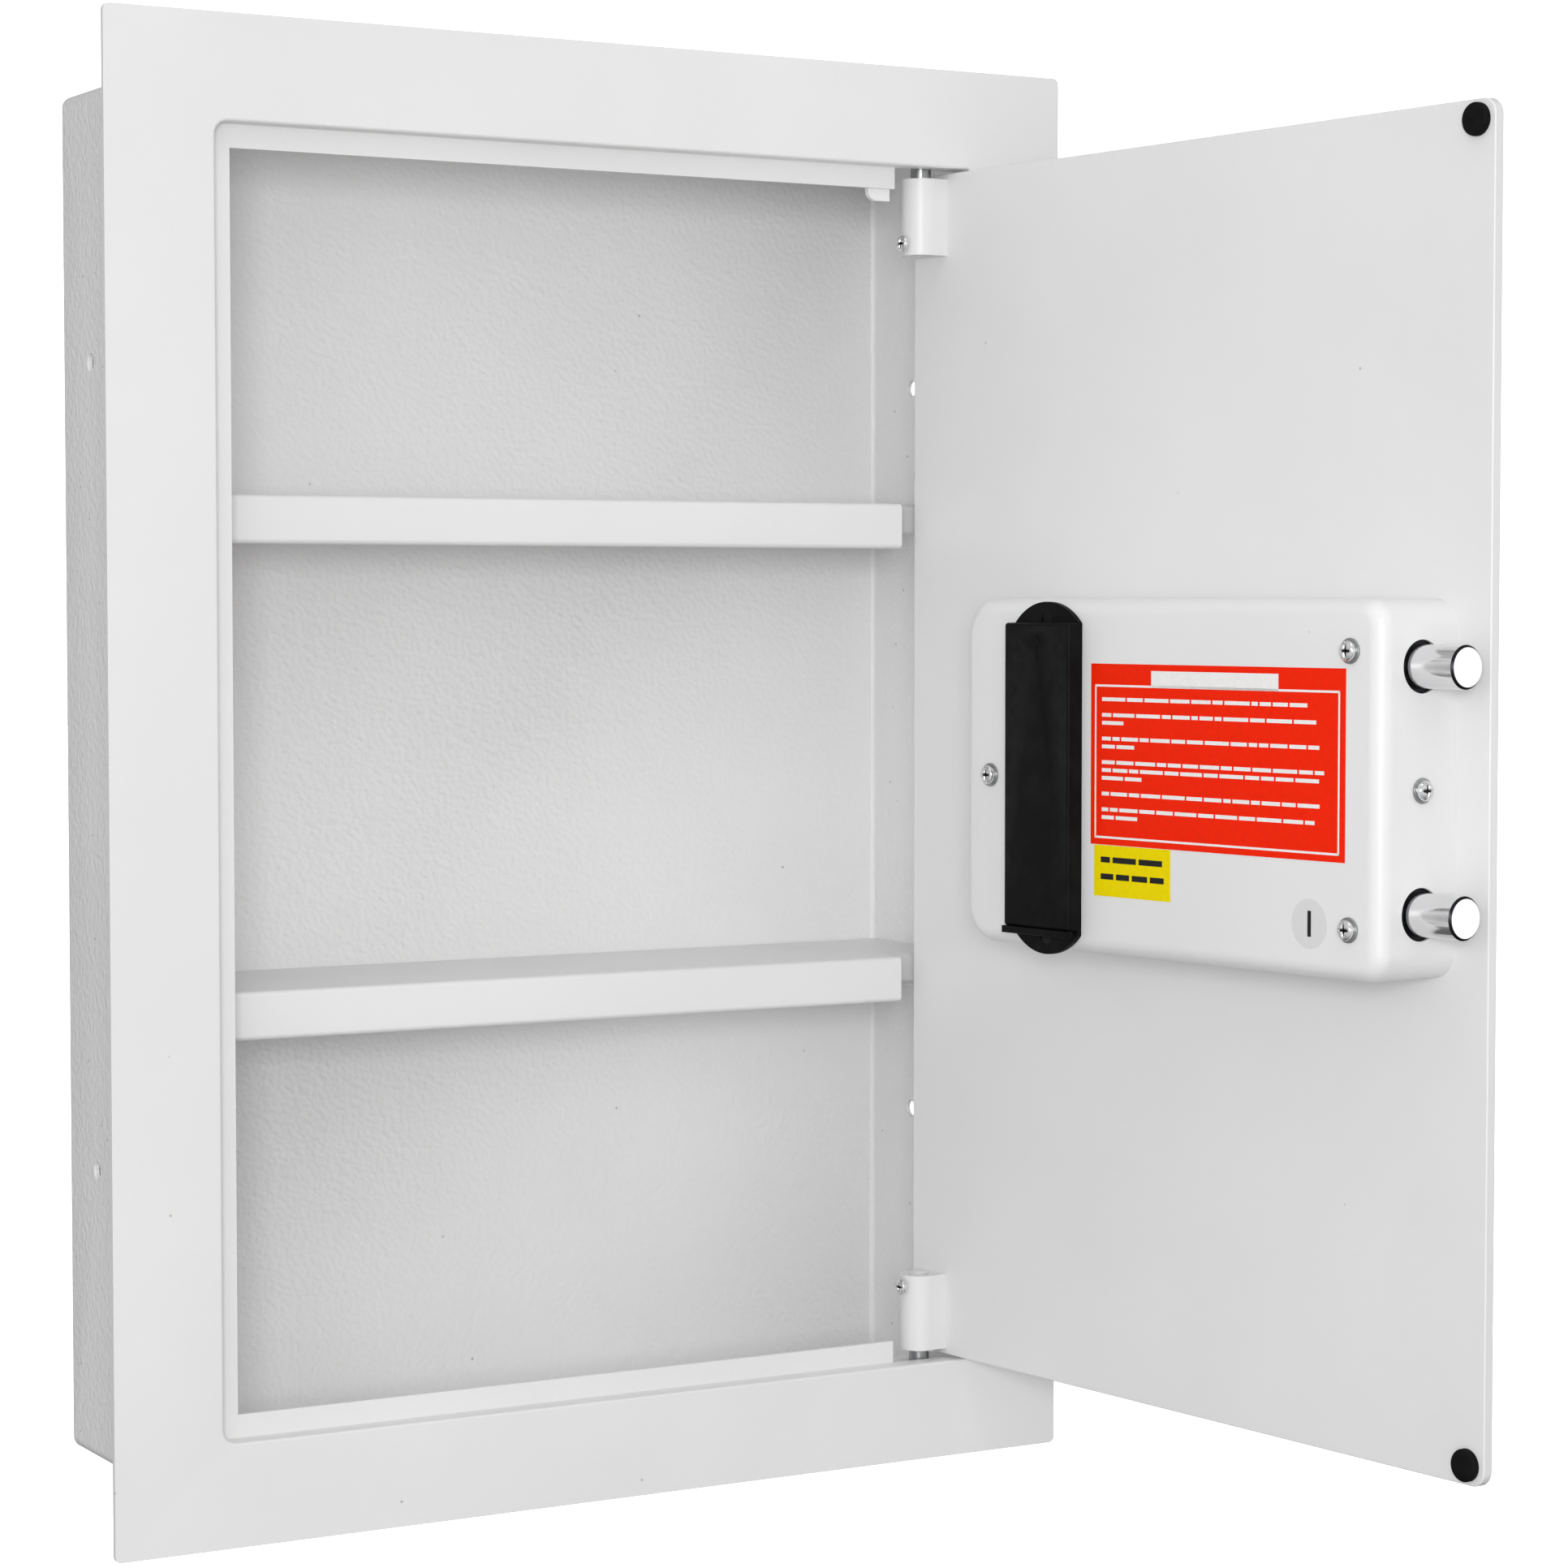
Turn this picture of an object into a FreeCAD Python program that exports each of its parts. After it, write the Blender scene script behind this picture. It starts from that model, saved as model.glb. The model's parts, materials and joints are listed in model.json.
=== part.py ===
"""Recessed wall safe with a reader lock, built as separate pieces.

Millimetres, +Z up, +X to the right as seen from the room, +Y into the wall.
The origin is the centre of the wall cut-out, in the plane of the wall's surface.
Door pieces are drawn with the door shut, then turned about the hinge line into
the open position that the part is stored in.
"""
import FreeCAD, Part
import math
import os

from FreeCAD import Vector

# ---------------------------------------------------------------- housing sizes
flange_w = 400.0            # face flange, across
flange_h = 550.0            # face flange, up
flange_t = 2.0              # face flange sheet
flange_corner = 2.5         # outer corner radius of the flange
rim_side = 41.5             # flange edge to door opening, left and right
rim_end = 38.25             # flange edge to door opening, top and bottom
overlap_side = 21.0         # flange lip over the wall, left and right
overlap_end = 20.0          # flange lip over the wall, top and bottom
body_d = 104.0              # housing depth behind the wall's surface
body_t = 2.0                # housing sheet
body_bend = 4.0             # outer bend radius of the housing
anchor_r = 3.25             # wall fixing hole radius
anchor_y = 72.0             # wall fixing holes, behind the wall's surface
anchor_z = 4.5              # middle of the fixing holes, above the safe's centre
anchor_pitch = 300.0        # wall fixing holes, up and down
opening_corner = 5.0        # corner radius of the door opening, free side
opening_corner_hinge = 1.4  # corner radius of the door opening, hinge side
jamb_t = 2.0                # sheet of the folded jamb and stop ledge
stop_recess = 8.3           # stop ledge, behind the flange's front face
stop_w = 8.5                # stop ledge, inward from the jamb
stop_end_gap = 15.0         # stop ledge ends this far from the hinge line

# ------------------------------------------------------------------- shelf sizes
shelf_tops = {"upper": 105.5, "lower": -76.6}
shelf_t = 1.5
shelf_y = 24.0              # front face of the shelf lips
shelf_lip = 18.0            # height of the front lip
shelf_hem = 8.0             # return under the front lip
shelf_bend = 2.0            # outer bend radius
shelf_side_gap = 0.6        # shelf to housing wall
shelf_notch = 36.0          # hinge-side notch, in from the housing wall
shelf_notch_d = 14.0        # hinge-side notch, front to back
shelf_notch_lip = 12.0      # height of the folded edge inside the notch
tab_reach = 15.0            # support tab, out from the housing wall
tab_len = 50.0
tab_t = 1.5

# -------------------------------------------------------------- door and hinges
door_open_deg = 96.4        # the door stands open by this much
door_gap = 1.5              # door edge to opening
door_t = 4.0
door_recess = 1.5           # door face behind the flange's front face
door_corner = 5.5
swing_clear = 3.5           # hinge line to opening, beyond the knuckle and the door
knuckle_r = 7.5
knuckle_len = 30.0
knuckle_gap = 3.75          # knuckle end to jamb
pin_r = 4.0
pin_len = 36.0
pin_clear = 0.05            # running clearance in the bracket, on the radius
pin_overrun = 4.3           # pin end beyond the hinge bracket
knuckle_screw_in = 4.5      # stop screw, from the knuckle's inner end
knuckle_screw_proud = 0.8   # stop screw's head off the knuckle
bracket_t = 3.0             # hinge bracket plate
bracket_leg_t = 2.5
bracket_leg_len = 10.0
bracket_leg_in = 1.0        # bracket leg, in from the end of the stop ledge
bracket_leg_drop = {"top": 13.25, "bottom": 6.5}
bracket_d = 26.0            # hinge bracket, front to back
bracket_w = 55.0
pad_r = 5.7                 # bumper pads
pad_t = 2.5
pad_inset_x = 8.0
pad_inset_z = 7.0

# --------------------------------------------------------------- lock case sizes
lock_z = 2.5                # centre of the lock, above the safe's centre
cover_inset = 15.5          # door's free edge to lock cover
cover_l = 222.0
cover_h = 130.0
cover_rise = 36.0
cover_t = 1.2
cover_corner_free = 10.0    # plan corner radius, bolt end
cover_corner_hinge = 14.0   # plan corner radius, hinge end
cover_edge = 6.0            # rolled edge radius
screw_head_r = 3.5
screw_head_h = 2.4
screw_r = 2.0
screw_len = 7.0
washer_r = 4.4
washer_t = 0.9
face_screw_x = 14.5         # face screws at the bolt end, from the cover's end
face_screw_z = 47.25        # face screws, either side of the lock's centre
post_screw_x = 16.5         # face screw at the hinge end, from the cover's end
post_r = 4.0

# -------------------------------------------------------------------- bolt work
bolt_r = 7.5
bolt_pitch = 84.0
bolt_rise = 16.5            # bolt centre line above the door's inner face
bolt_proud = 20.7           # bolt end beyond the lock cover when thrown
bolt_len = 60.0
bolt_chamfer = 0.8
bolt_hole_clear = 1.65      # bolt to its hole in the cover, on the radius
bolt_run_clear = 0.08       # bolt to its guide, on the radius
throw = 17.0                # bolt travel
guide_t = 2.0
guide_l = 27.5              # bolt guide, along the bolts
carriage_t = 3.0
carriage_half_h = 50.0
gear_module = 1.0
pinion_teeth = 15
rack_body = 4.25            # rack thickness under the tooth roots
rack_w = 9.0
rack_low = 5.5              # underside of the rack above the door's inner face
pinion_x = 77.5             # pinion axis, from the lock cover's bolt end
motor_r = 12.0
gearbox_l = 20.0
motor_l = 28.0
mount_plate_t = 2.0
spring_drop = 14.5          # spring line below the lock's centre
spring_rise = 10.5          # spring line above the door's inner face
spring_r = 3.5
spring_wire = 0.8
rod_r = 1.7
rod_lug_x = 93.5            # spring lug, from the lock cover's bolt end

# ------------------------------------------------------------------ key cylinder
key_x = 103.5               # key axis, from the lock cover's bolt end
key_drop = 38.5             # key axis below the lock's centre
cyl_r = 9.5
cyl_front = 11.0            # cylinder face proud of the door
cyl_back = 15.0             # cylinder behind the door's inner face
cyl_head_r = 11.0
plug_r = 6.0
plug_clear = 0.05
cam_t = 2.5
cam_pin_r = 2.0
cam_turn = 90.0
cam_slot_clear = 0.6
arm_t = 2.0
nut_across = 24.0
nut_t = 4.0

# ------------------------------------------------------------ reader on the front
reader_w = 58.0
reader_h = 150.0
reader_t = 14.0
reader_edge = 4.0
reader_wall = 2.5
window_w = 20.0
window_h = 26.0
window_up = 30.0            # finger window above the reader's centre
window_recess = 5.0
led_r = 1.75
led_pitch = 10.0
led_up = 60.0
cap_r = 13.0
cap_t = 2.5
cap_gap = 0.3
cap_pivot_up = 21.0         # cap pivot above the key axis
cap_pivot_r = 2.5

# ------------------------------------------------------------- power and circuit
bay_x = 171.0               # battery bay centre, from the lock cover's bolt end
bay_w = 37.0                # battery cover outline
bay_h = 113.0
bay_z = 2.0                 # battery bay centre above the safe's centre
tray_flange_t = 2.0
tray_wall = 1.5
tray_depth = 13.5           # bay floor below the tray's flange face
tray_end_r = 24.5           # arc ends of the tray's flange
tray_end = 8.8              # how far the arc ends pass the battery cover
tray_drop = 1.0             # tray's centre below the battery cover's
tray_screw_out = 2.5        # tray screws beyond the battery cover's ends
rail_h = 2.3
rail_t = 0.9
rail_lip = 0.45
slide_clear = 0.15          # battery cover to its rails
lid_rise = 7.0              # battery cover above the lock cover
lid_t = 1.5
lid_gap = 0.2
lid_lip = 1.0               # finger lip past the cover's face
lid_lip_t = 2.6
arrow_l = 9.0
arrow_w = 5.6
arrow_top = 4.5             # arrow's tip below the battery cover's end
cell_r = 7.1
cell_l = 50.0
cell_gap = 0.06             # cell to cell, and cell to the bay
button_r = 1.6
button_up = 12.0
board_t = 1.6
board_rise = 4.5
board_w = 75.0
board_h = 105.0
board_x = 121.5             # board edge, from the lock cover's bolt end
label_t = 0.15

# ------------------------------------------------------------------- derived places
open_x = flange_w / 2 - rim_side
open_z = flange_h / 2 - rim_end
body_x = flange_w / 2 - overlap_side
body_z = flange_h / 2 - overlap_end
face_y = -flange_t
stop_y = face_y + stop_recess
door_y0 = face_y + door_recess
door_y1 = door_y0 + door_t
hinge_x = open_x - knuckle_r - door_t - swing_clear
hinge_y = door_y1 + knuckle_r
door_x = open_x - door_gap
door_z = open_z - door_gap
cover_x0 = -door_x + cover_inset
cover_x1 = cover_x0 + cover_l
cover_y = door_y1 + cover_rise
bolt_y = door_y1 + bolt_rise
bolt_zs = (lock_z + bolt_pitch / 2, lock_z - bolt_pitch / 2)
bolt_x0 = cover_x0 - bolt_proud
carriage_x = bolt_x0 + bolt_len
pitch_r = gear_module * pinion_teeth / 2
rack_y = door_y1 + rack_low
pitch_y = rack_y + rack_body + 1.25 * gear_module
pinion_y = pitch_y + pitch_r
gear_x = cover_x0 + pinion_x
gear_z0 = lock_z - rack_w / 2
key_cx = cover_x0 + key_x
key_cz = lock_z - key_drop
cam_y = door_y1 + cyl_back + 0.5
cam_arm_r = throw / (2 * math.sin(math.radians(cam_turn / 2)))
arm_y = cam_y + cam_t + 2.5
bay_cx = cover_x0 + bay_x
tray_y = cover_y + tray_flange_t
lid_y = cover_y + lid_rise
reader_y = door_y0 - reader_t
spring_z = lock_z - spring_drop
spring_y = door_y1 + spring_rise

X = Vector(1, 0, 0)
Y = Vector(0, 1, 0)
Z = Vector(0, 0, 1)


# ------------------------------------------------------------------ plain shapes
def box(x0, x1, y0, y1, z0, z1):
    """Block between two corners."""
    return Part.makeBox(x1 - x0, y1 - y0, z1 - z0, Vector(x0, y0, z0))


def rod(radius, start, axis, length):
    """Round bar from a point along an axis."""
    return Part.makeCylinder(radius, length, Vector(*start), axis)


def fuse(first, *others):
    """One solid from touching shapes, with shared faces merged."""
    return first.fuse(list(others)).removeSplitter()


def group(shapes):
    """Several separate solids kept in one node."""
    return Part.makeCompound(list(shapes))


def edges_where(shape, test):
    """Edges whose bounding box passes a test."""
    return [edge for edge in shape.Edges if test(edge.BoundBox)]


def rounded(shape, radius, test):
    """Shape with the tested edges rounded."""
    return shape.makeFillet(radius, edges_where(shape, test))


def flat(low, high):
    """True where an edge has no length between two of its box's sides."""
    return abs(high - low) < 1e-6


def upright_edge(b):
    """Edge that runs along Y only."""
    return flat(b.XMin, b.XMax) and flat(b.ZMin, b.ZMax)


def plate_xz(x0, x1, z0, z1, y0, y1, radius):
    """Plate across Y with its four corners rounded."""
    plate = box(x0, x1, y0, y1, z0, z1)
    return rounded(plate, radius, upright_edge)


def prism(points, axis_move):
    """Straight-sided solid from a closed list of points."""
    wire = Part.makePolygon([Vector(*p) for p in points] + [Vector(*points[0])])
    return Part.Face(wire).extrude(axis_move)


def stadium(cx, cz, width, height, y0, y1):
    """Plate across Y with two half-round ends."""
    r = width / 2
    half = height / 2 - r
    middle = box(cx - r, cx + r, y0, y1, cz - half, cz + half)
    ends = [rod(r, (cx, y0, cz + s * half), Y, y1 - y0) for s in (1, -1)]
    return fuse(middle, *ends)


def bent_tube(points, radius, bend):
    """Round tube along straight runs joined by tangent arcs."""
    pts = [Vector(*p) for p in points]
    edges = []
    start = pts[0]
    for before, corner, after in zip(pts, pts[1:], pts[2:]):
        u = (corner - before).normalize()
        v = (after - corner).normalize()
        turn = u.getAngle(v)
        cut = bend * math.tan(turn / 2)
        a = corner - u * cut
        b = corner + v * cut
        inward = (v - u).normalize()
        middle = corner + inward * (bend / math.cos(turn / 2) - bend)
        edges.append(Part.LineSegment(start, a).toShape())
        edges.append(Part.Arc(a, middle, b).toShape())
        start = b
    edges.append(Part.LineSegment(start, pts[-1]).toShape())
    path = Part.Wire(edges)
    ring = Part.Wire(Part.makeCircle(radius, pts[0], (pts[1] - pts[0]).normalize()))
    return path.makePipeShell([ring], True, False)


def pan_screw(head_base, axis, shank_len):
    """Pan-head screw with a cross recess; the head stands out along the axis."""
    base = Vector(*head_base)
    head = Part.makeCylinder(screw_head_r, screw_head_h, base, axis)
    top = edges_where(head, lambda b: True)
    far = max(top, key=lambda e: (e.CenterOfMass - base).dot(axis) if e.Closed else -1)
    head = head.makeFillet(screw_head_h * 0.6, [far])
    shank = Part.makeCylinder(screw_r, shank_len, base - axis * shank_len, axis)
    side = axis.cross(Z) if abs(axis.dot(Z)) < 0.5 else axis.cross(X)
    other = axis.cross(side)
    screw = fuse(head, shank)
    for along, across in ((side, other), (other, side)):
        reach = screw_head_r * 0.62
        slot = 0.9
        corner = base + axis * (screw_head_h * 0.35) - along * reach - across * (slot / 2)
        arm = [corner, corner + along * (2 * reach),
               corner + along * (2 * reach) + across * slot, corner + across * slot]
        screw = screw.cut(prism([tuple(p) for p in arm], axis * screw_head_h))
    return screw


def mirrored_z(shape):
    """Copy turned upside down about the safe's mid height."""
    return shape.mirror(Vector(0, 0, 0), Z)


# ------------------------------------------------------------------- the housing
def body_shell():
    """Folded steel box, open at the front, with four wall fixing holes."""
    def block(side, end, back, bend):
        shape = box(-side, side, 0, back, -end, end)
        shape = rounded(shape, bend, upright_edge)
        return rounded(shape, bend, lambda b: flat(b.YMin, b.YMax) and abs(b.YMin - back) < 1e-6)

    outer = block(body_x, body_z, body_d, body_bend)
    inner = block(body_x - body_t, body_z - body_t, body_d - body_t, body_bend - body_t)
    shell = outer.cut(inner)
    for z in (anchor_z + anchor_pitch / 2, anchor_z - anchor_pitch / 2):
        shell = shell.cut(rod(anchor_r, (-body_x - 5, anchor_y, z), X, 2 * body_x + 10))
    return shell


def face_frame():
    """Face flange folded back into the jamb and the door's stop ledge."""
    plate = plate_xz(-flange_w / 2, flange_w / 2, -flange_h / 2, flange_h / 2,
                     face_y, 0, flange_corner)
    hole = box(-open_x, open_x, face_y - 20, 60, -open_z, open_z)
    hole = rounded(hole, opening_corner, lambda b: upright_edge(b) and b.XMin < 0)
    hole = rounded(hole, opening_corner_hinge, lambda b: upright_edge(b) and b.XMin > 0)
    back = stop_y + jamb_t
    jamb = plate_xz(-open_x - jamb_t, open_x + jamb_t, -open_z - jamb_t, open_z + jamb_t,
                    face_y, back, opening_corner + jamb_t)
    jamb = jamb.cut(hole)
    ledge = plate_xz(-open_x - jamb_t, open_x + jamb_t, -open_z - jamb_t, open_z + jamb_t,
                     stop_y, back, opening_corner + jamb_t)
    ledge = ledge.cut(box(-open_x + stop_w, open_x + 30, stop_y - 1, back + 1,
                          -open_z + stop_w, open_z - stop_w))
    swing = box(hinge_x - stop_end_gap, open_x + 30, stop_y, back + 1, -open_z - 5, open_z + 5)
    hinge_side = box(open_x - 0.01, open_x + 30, 0, back + 1, -open_z - 5, open_z + 5)
    frame = fuse(plate.cut(hole), jamb, ledge)
    frame = frame.cut(swing).cut(hinge_side)
    front = edges_where(frame, lambda b: flat(b.YMin, b.YMax) and abs(b.YMin - face_y) < 1e-6
                        and b.XMin > -open_x - 1 and b.XMax < open_x + 1)
    return frame.makeFillet(1.2, front)


def hinge_bracket(leg_drop):
    """Angle behind the jamb that carries a hinge pin, drawn for the top."""
    x1 = hinge_x - stop_end_gap - bracket_leg_in
    x0 = x1 - bracket_leg_len
    low = open_z + jamb_t
    plate = box(x0, x0 + bracket_w, 0.5, bracket_d, low, low + bracket_t)
    leg = box(x0, x1, stop_y + jamb_t, stop_y + jamb_t + bracket_leg_t, low - jamb_t - leg_drop, low)
    leg = rounded(leg, 4.0, lambda b: upright_edge(b) and b.XMin < x0 + 1 and b.ZMax < low - 2)
    hole = rod(pin_r + pin_clear, (hinge_x, hinge_y, low - 1), Z, bracket_t + 2)
    return fuse(plate, leg).cut(hole)


def shelf(top):
    """Folded tray shelf with a deep front lip and a notch beside the hinge."""
    wall = body_x - body_t - shelf_side_gap
    back = body_d - body_t - shelf_side_gap
    notch_x = body_x - shelf_notch
    notch_y = shelf_y + shelf_notch_d
    low = top - shelf_lip

    def channel(x0, x1, front, drop, hem):
        """Top sheet, front lip and under-hem as one bent section."""
        outer = box(x0, x1, front, back, top - drop, top)
        outer = rounded(outer, shelf_bend, lambda b: flat(b.YMin, b.YMax)
                        and abs(b.YMin - front) < 1e-6 and flat(b.ZMin, b.ZMax))
        hollow = box(x0 - 1, x1 + 1, front + shelf_t, back + 1, top - drop + shelf_t, top - shelf_t)
        under = box(x0 - 1, x1 + 1, front + hem, back + 1, top - drop - 1, top - shelf_t)
        return outer.cut(hollow).cut(under)

    front_part = channel(-wall, notch_x, shelf_y, shelf_lip, shelf_hem)
    side_part = channel(notch_x - 1, wall, notch_y, shelf_notch_lip, shelf_t + 2.0)
    clear = box(-wall, notch_x, notch_y - 1, back + 1, low - 1, top - shelf_t)
    side_part = side_part.cut(clear)
    return fuse(front_part, side_part)


def shelf_tabs():
    """Folded angle tabs on both side walls that the shelves rest on."""
    tabs = []
    for top in shelf_tops.values():
        under = top - shelf_t
        for side in (-1, 1):
            wall = side * (body_x - body_t)
            xs = sorted((wall, wall - side * tab_reach))
            ws = sorted((wall, wall - side * tab_t))
            y1 = body_d - body_t - 8.0
            seat = box(xs[0], xs[1], y1 - tab_len, y1, under - tab_t, under)
            web = box(ws[0], ws[1], y1 - tab_len, y1, under - 16.0, under)
            tabs.append(fuse(seat, web))
    return group(tabs)


# ---------------------------------------------------------------------- the door
def door_plate():
    """Flat steel door with the reader's cable slot and the key cylinder hole."""
    plate = plate_xz(-door_x, door_x, -door_z, door_z, door_y0, door_y1, door_corner)
    plate = plate.cut(rod(cyl_r + 0.1, (key_cx, door_y0 - 1, key_cz), Y, door_t + 2))
    slot = box(key_cx - 9, key_cx + 9, door_y0 - 1, door_y1 + 1,
               lock_z + window_up - 5, lock_z + window_up + 5)
    return plate.cut(slot)


def knuckle():
    """Round hinge knuckle on a square foot, drilled for the pin; the upper one."""
    top = open_z - knuckle_gap
    low = top - knuckle_len
    barrel = rod(knuckle_r, (hinge_x, hinge_y, low), Z, knuckle_len)
    foot = box(hinge_x - knuckle_r, hinge_x + knuckle_r, door_y1, hinge_y, low, top)
    block = fuse(barrel, foot)
    block = block.cut(rod(pin_r + pin_clear, (hinge_x, hinge_y, low - 1), Z, knuckle_len + 2))
    screw_z = low + knuckle_screw_in
    return block.cut(rod(1.5, (hinge_x, door_y1 + 1.5, screw_z), Y, 2 * knuckle_r + 5))


def hinge_pin():
    """Loose steel pin, pushed out through the bracket; the upper one."""
    end = open_z + jamb_t + bracket_t + pin_overrun
    pin = rod(pin_r, (hinge_x, hinge_y, end - pin_len), Z, pin_len)
    return pin.makeChamfer(0.6, [e for e in pin.Edges if e.Closed])


def knuckle_screws():
    """Stop screws that keep the pins out, one through each knuckle."""
    z = open_z - knuckle_gap - knuckle_len + knuckle_screw_in
    y = hinge_y + knuckle_r + knuckle_screw_proud
    head = rod(3.1, (hinge_x, y, z), Y, 2.4)
    head = head.makeFillet(1.4, [max(head.Edges, key=lambda e: e.BoundBox.YMin if e.Closed else -99)])
    shank = rod(1.45, (hinge_x, door_y1 + 2.0, z), Y, y - door_y1 - 2.0)
    socket = rod(1.2, (hinge_x, y + 1.4, z), Y, 3)
    screw = fuse(head, shank).cut(socket)
    return group([screw, mirrored_z(screw)])


def bumper_pads():
    """Soft round pads that meet the stop ledge at the door's free corners."""
    pads = []
    for side in (1, -1):
        pad = rod(pad_r, (-door_x + pad_inset_x, door_y1, side * (door_z - pad_inset_z)), Y, pad_t)
        top = max(pad.Edges, key=lambda e: e.BoundBox.YMin if e.Closed else -99)
        pads.append(pad.makeFillet(0.9, [top]))
    return group(pads)


# ----------------------------------------------------------------- the lock case
def cover_block(inset):
    """Solid outline of the lock cover, shrunk by a wall thickness."""
    x0 = cover_x0 + inset
    x1 = cover_x1 - inset
    z0 = lock_z - cover_h / 2 + inset
    z1 = lock_z + cover_h / 2 - inset
    top = cover_y - inset
    block = box(x0, x1, door_y1, top, z0, z1)
    block = rounded(block, cover_corner_free - inset, lambda b: upright_edge(b) and b.XMin < x0 + 1)
    block = rounded(block, cover_corner_hinge - inset, lambda b: upright_edge(b) and b.XMin > x1 - 1)
    return rounded(block, cover_edge - inset, lambda b: flat(b.YMin, b.YMax) and b.YMin > top - 0.1)


def face_screw_places():
    """Centres of the three screws on the cover's face."""
    return [(cover_x0 + face_screw_x, lock_z + face_screw_z),
            (cover_x0 + face_screw_x, lock_z - face_screw_z),
            (cover_x1 - post_screw_x, lock_z - 1.5)]


def lock_cover():
    """Deep pressed cover over the lock, open for bolts, battery bay and screws."""
    cover = cover_block(0).cut(cover_block(cover_t))
    for z in bolt_zs:
        cover = cover.cut(rod(bolt_r + bolt_hole_clear, (cover_x0 - 1, bolt_y, z), X, 10))
    cover = cover.cut(rod(screw_r + 0.2, (cover_x0 - 1, bolt_y, lock_z), X, 10))
    for x, z in face_screw_places():
        cover = cover.cut(rod(screw_r + 0.2, (x, cover_y - 5, z), Y, 10))
    pocket_x, pocket_z = pocket_half()
    for side in (1, -1):
        cover = cover.cut(rod(1.62, (bay_cx, cover_y - 5, tray_screw_z(side)), Y, 10))
    return cover.cut(box(bay_cx - pocket_x - 0.3, bay_cx + pocket_x + 0.3, cover_y - 5, cover_y + 5,
                         bay_z - pocket_z - 0.3, bay_z + pocket_z + 0.3))


def cover_screws():
    """Pan-head screws: three on the face and one between the bolts."""
    proud = cover_y + washer_t
    screws = [pan_screw((x, proud, z), Y, screw_len) for x, z in face_screw_places()]
    screws.append(pan_screw((cover_x0 - washer_t, bolt_y, lock_z), X * -1, screw_len - 1.5))
    return group(screws)


def cover_washers():
    """Plain washers under the cover screws."""
    def washer(start, axis):
        ring = rod(washer_r, start, axis, washer_t)
        return ring.cut(rod(screw_r + 0.1, start, axis, washer_t))

    rings = [washer((x, cover_y, z), Y) for x, z in face_screw_places()]
    rings.append(washer((cover_x0 - washer_t, bolt_y, lock_z), X))
    return group(rings)


def cover_post():
    """Post on the door that takes the hinge-end cover screw."""
    x, z = face_screw_places()[2]
    post = rod(post_r, (x, door_y1, z), Y, cover_rise - cover_t)
    return post.cut(rod(screw_r + 0.02, (x, cover_y - cover_t - 14, z), Y, 20))


def bolt_guide():
    """Hat-shaped bracket: two drilled walls joined by a web under the cover."""
    x0 = cover_x0 + cover_t + 0.2
    x1 = x0 + guide_l
    z0 = lock_z - cover_h / 2 + cover_corner_free + 1
    z1 = lock_z + cover_h / 2 - cover_corner_free - 1
    top = cover_y - cover_t - 0.2
    def bend(b):
        return flat(b.XMin, b.XMax) and flat(b.YMin, b.YMax) and b.YMin > door_y1 + 10

    outer = rounded(box(x0, x1, door_y1, top, z0, z1), cover_edge, bend)
    inner = rounded(box(x0 + guide_t, x1 - guide_t, door_y1 - 1, top - guide_t, z0 - 1, z1 + 1),
                    cover_edge - guide_t, bend)
    foot = box(x1, x1 + 8, door_y1, door_y1 + guide_t, z0 + 22, z1 - 22)
    guide = fuse(outer.cut(inner), foot)
    for z in bolt_zs:
        guide = guide.cut(rod(bolt_r + bolt_run_clear, (x0 - 1, bolt_y, z), X, guide_l + 2))
    for x, z in face_screw_places()[:2]:
        guide = guide.cut(rod(screw_r + 0.02, (x, top - 5, z), Y, 10))
    return guide.cut(rod(screw_r + 0.02, (x0 - 1, bolt_y, lock_z), X, guide_t + 2))


# ------------------------------------------------------------------ the bolt work
def locking_bolt(z):
    """Round steel bolt with a chamfered nose and a tapped rear end."""
    bolt = rod(bolt_r, (bolt_x0, bolt_y, z), X, bolt_len)
    bolt = bolt.makeChamfer(bolt_chamfer, [min(bolt.Edges, key=lambda e: e.BoundBox.XMax)])
    return bolt.cut(rod(2.5, (carriage_x - 12, bolt_y, z), X, 20))


def bolt_carriage():
    """Cross plate behind the bolts, with the slotted arm that the key cam moves."""
    x0 = carriage_x
    x1 = x0 + carriage_t
    plate = box(x0, x1, door_y1 + 4, door_y1 + 30, lock_z - carriage_half_h, lock_z + carriage_half_h)
    for z in bolt_zs:
        plate = plate.cut(rod(2.6, (x0 - 1, bolt_y, z), X, 10))
    plate = plate.cut(rod(rod_r + 0.3, (x0 - 1, spring_y, spring_z), X, 10))
    pin_x = key_cx - cam_arm_r * math.sin(math.radians(cam_turn / 2))
    pin_low = key_cz + cam_arm_r * math.cos(math.radians(cam_turn / 2))
    pin_high = key_cz + cam_arm_r
    arm = box(x1, pin_x + 8, arm_y, arm_y + arm_t, pin_low - 8, pin_high + 8)
    half = cam_pin_r + cam_slot_clear
    slot = box(pin_x - half, pin_x + half, arm_y - 1, arm_y + arm_t + 1,
               pin_low - half - 1, pin_high + half + 1)
    return fuse(plate, arm).cut(slot)


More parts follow.
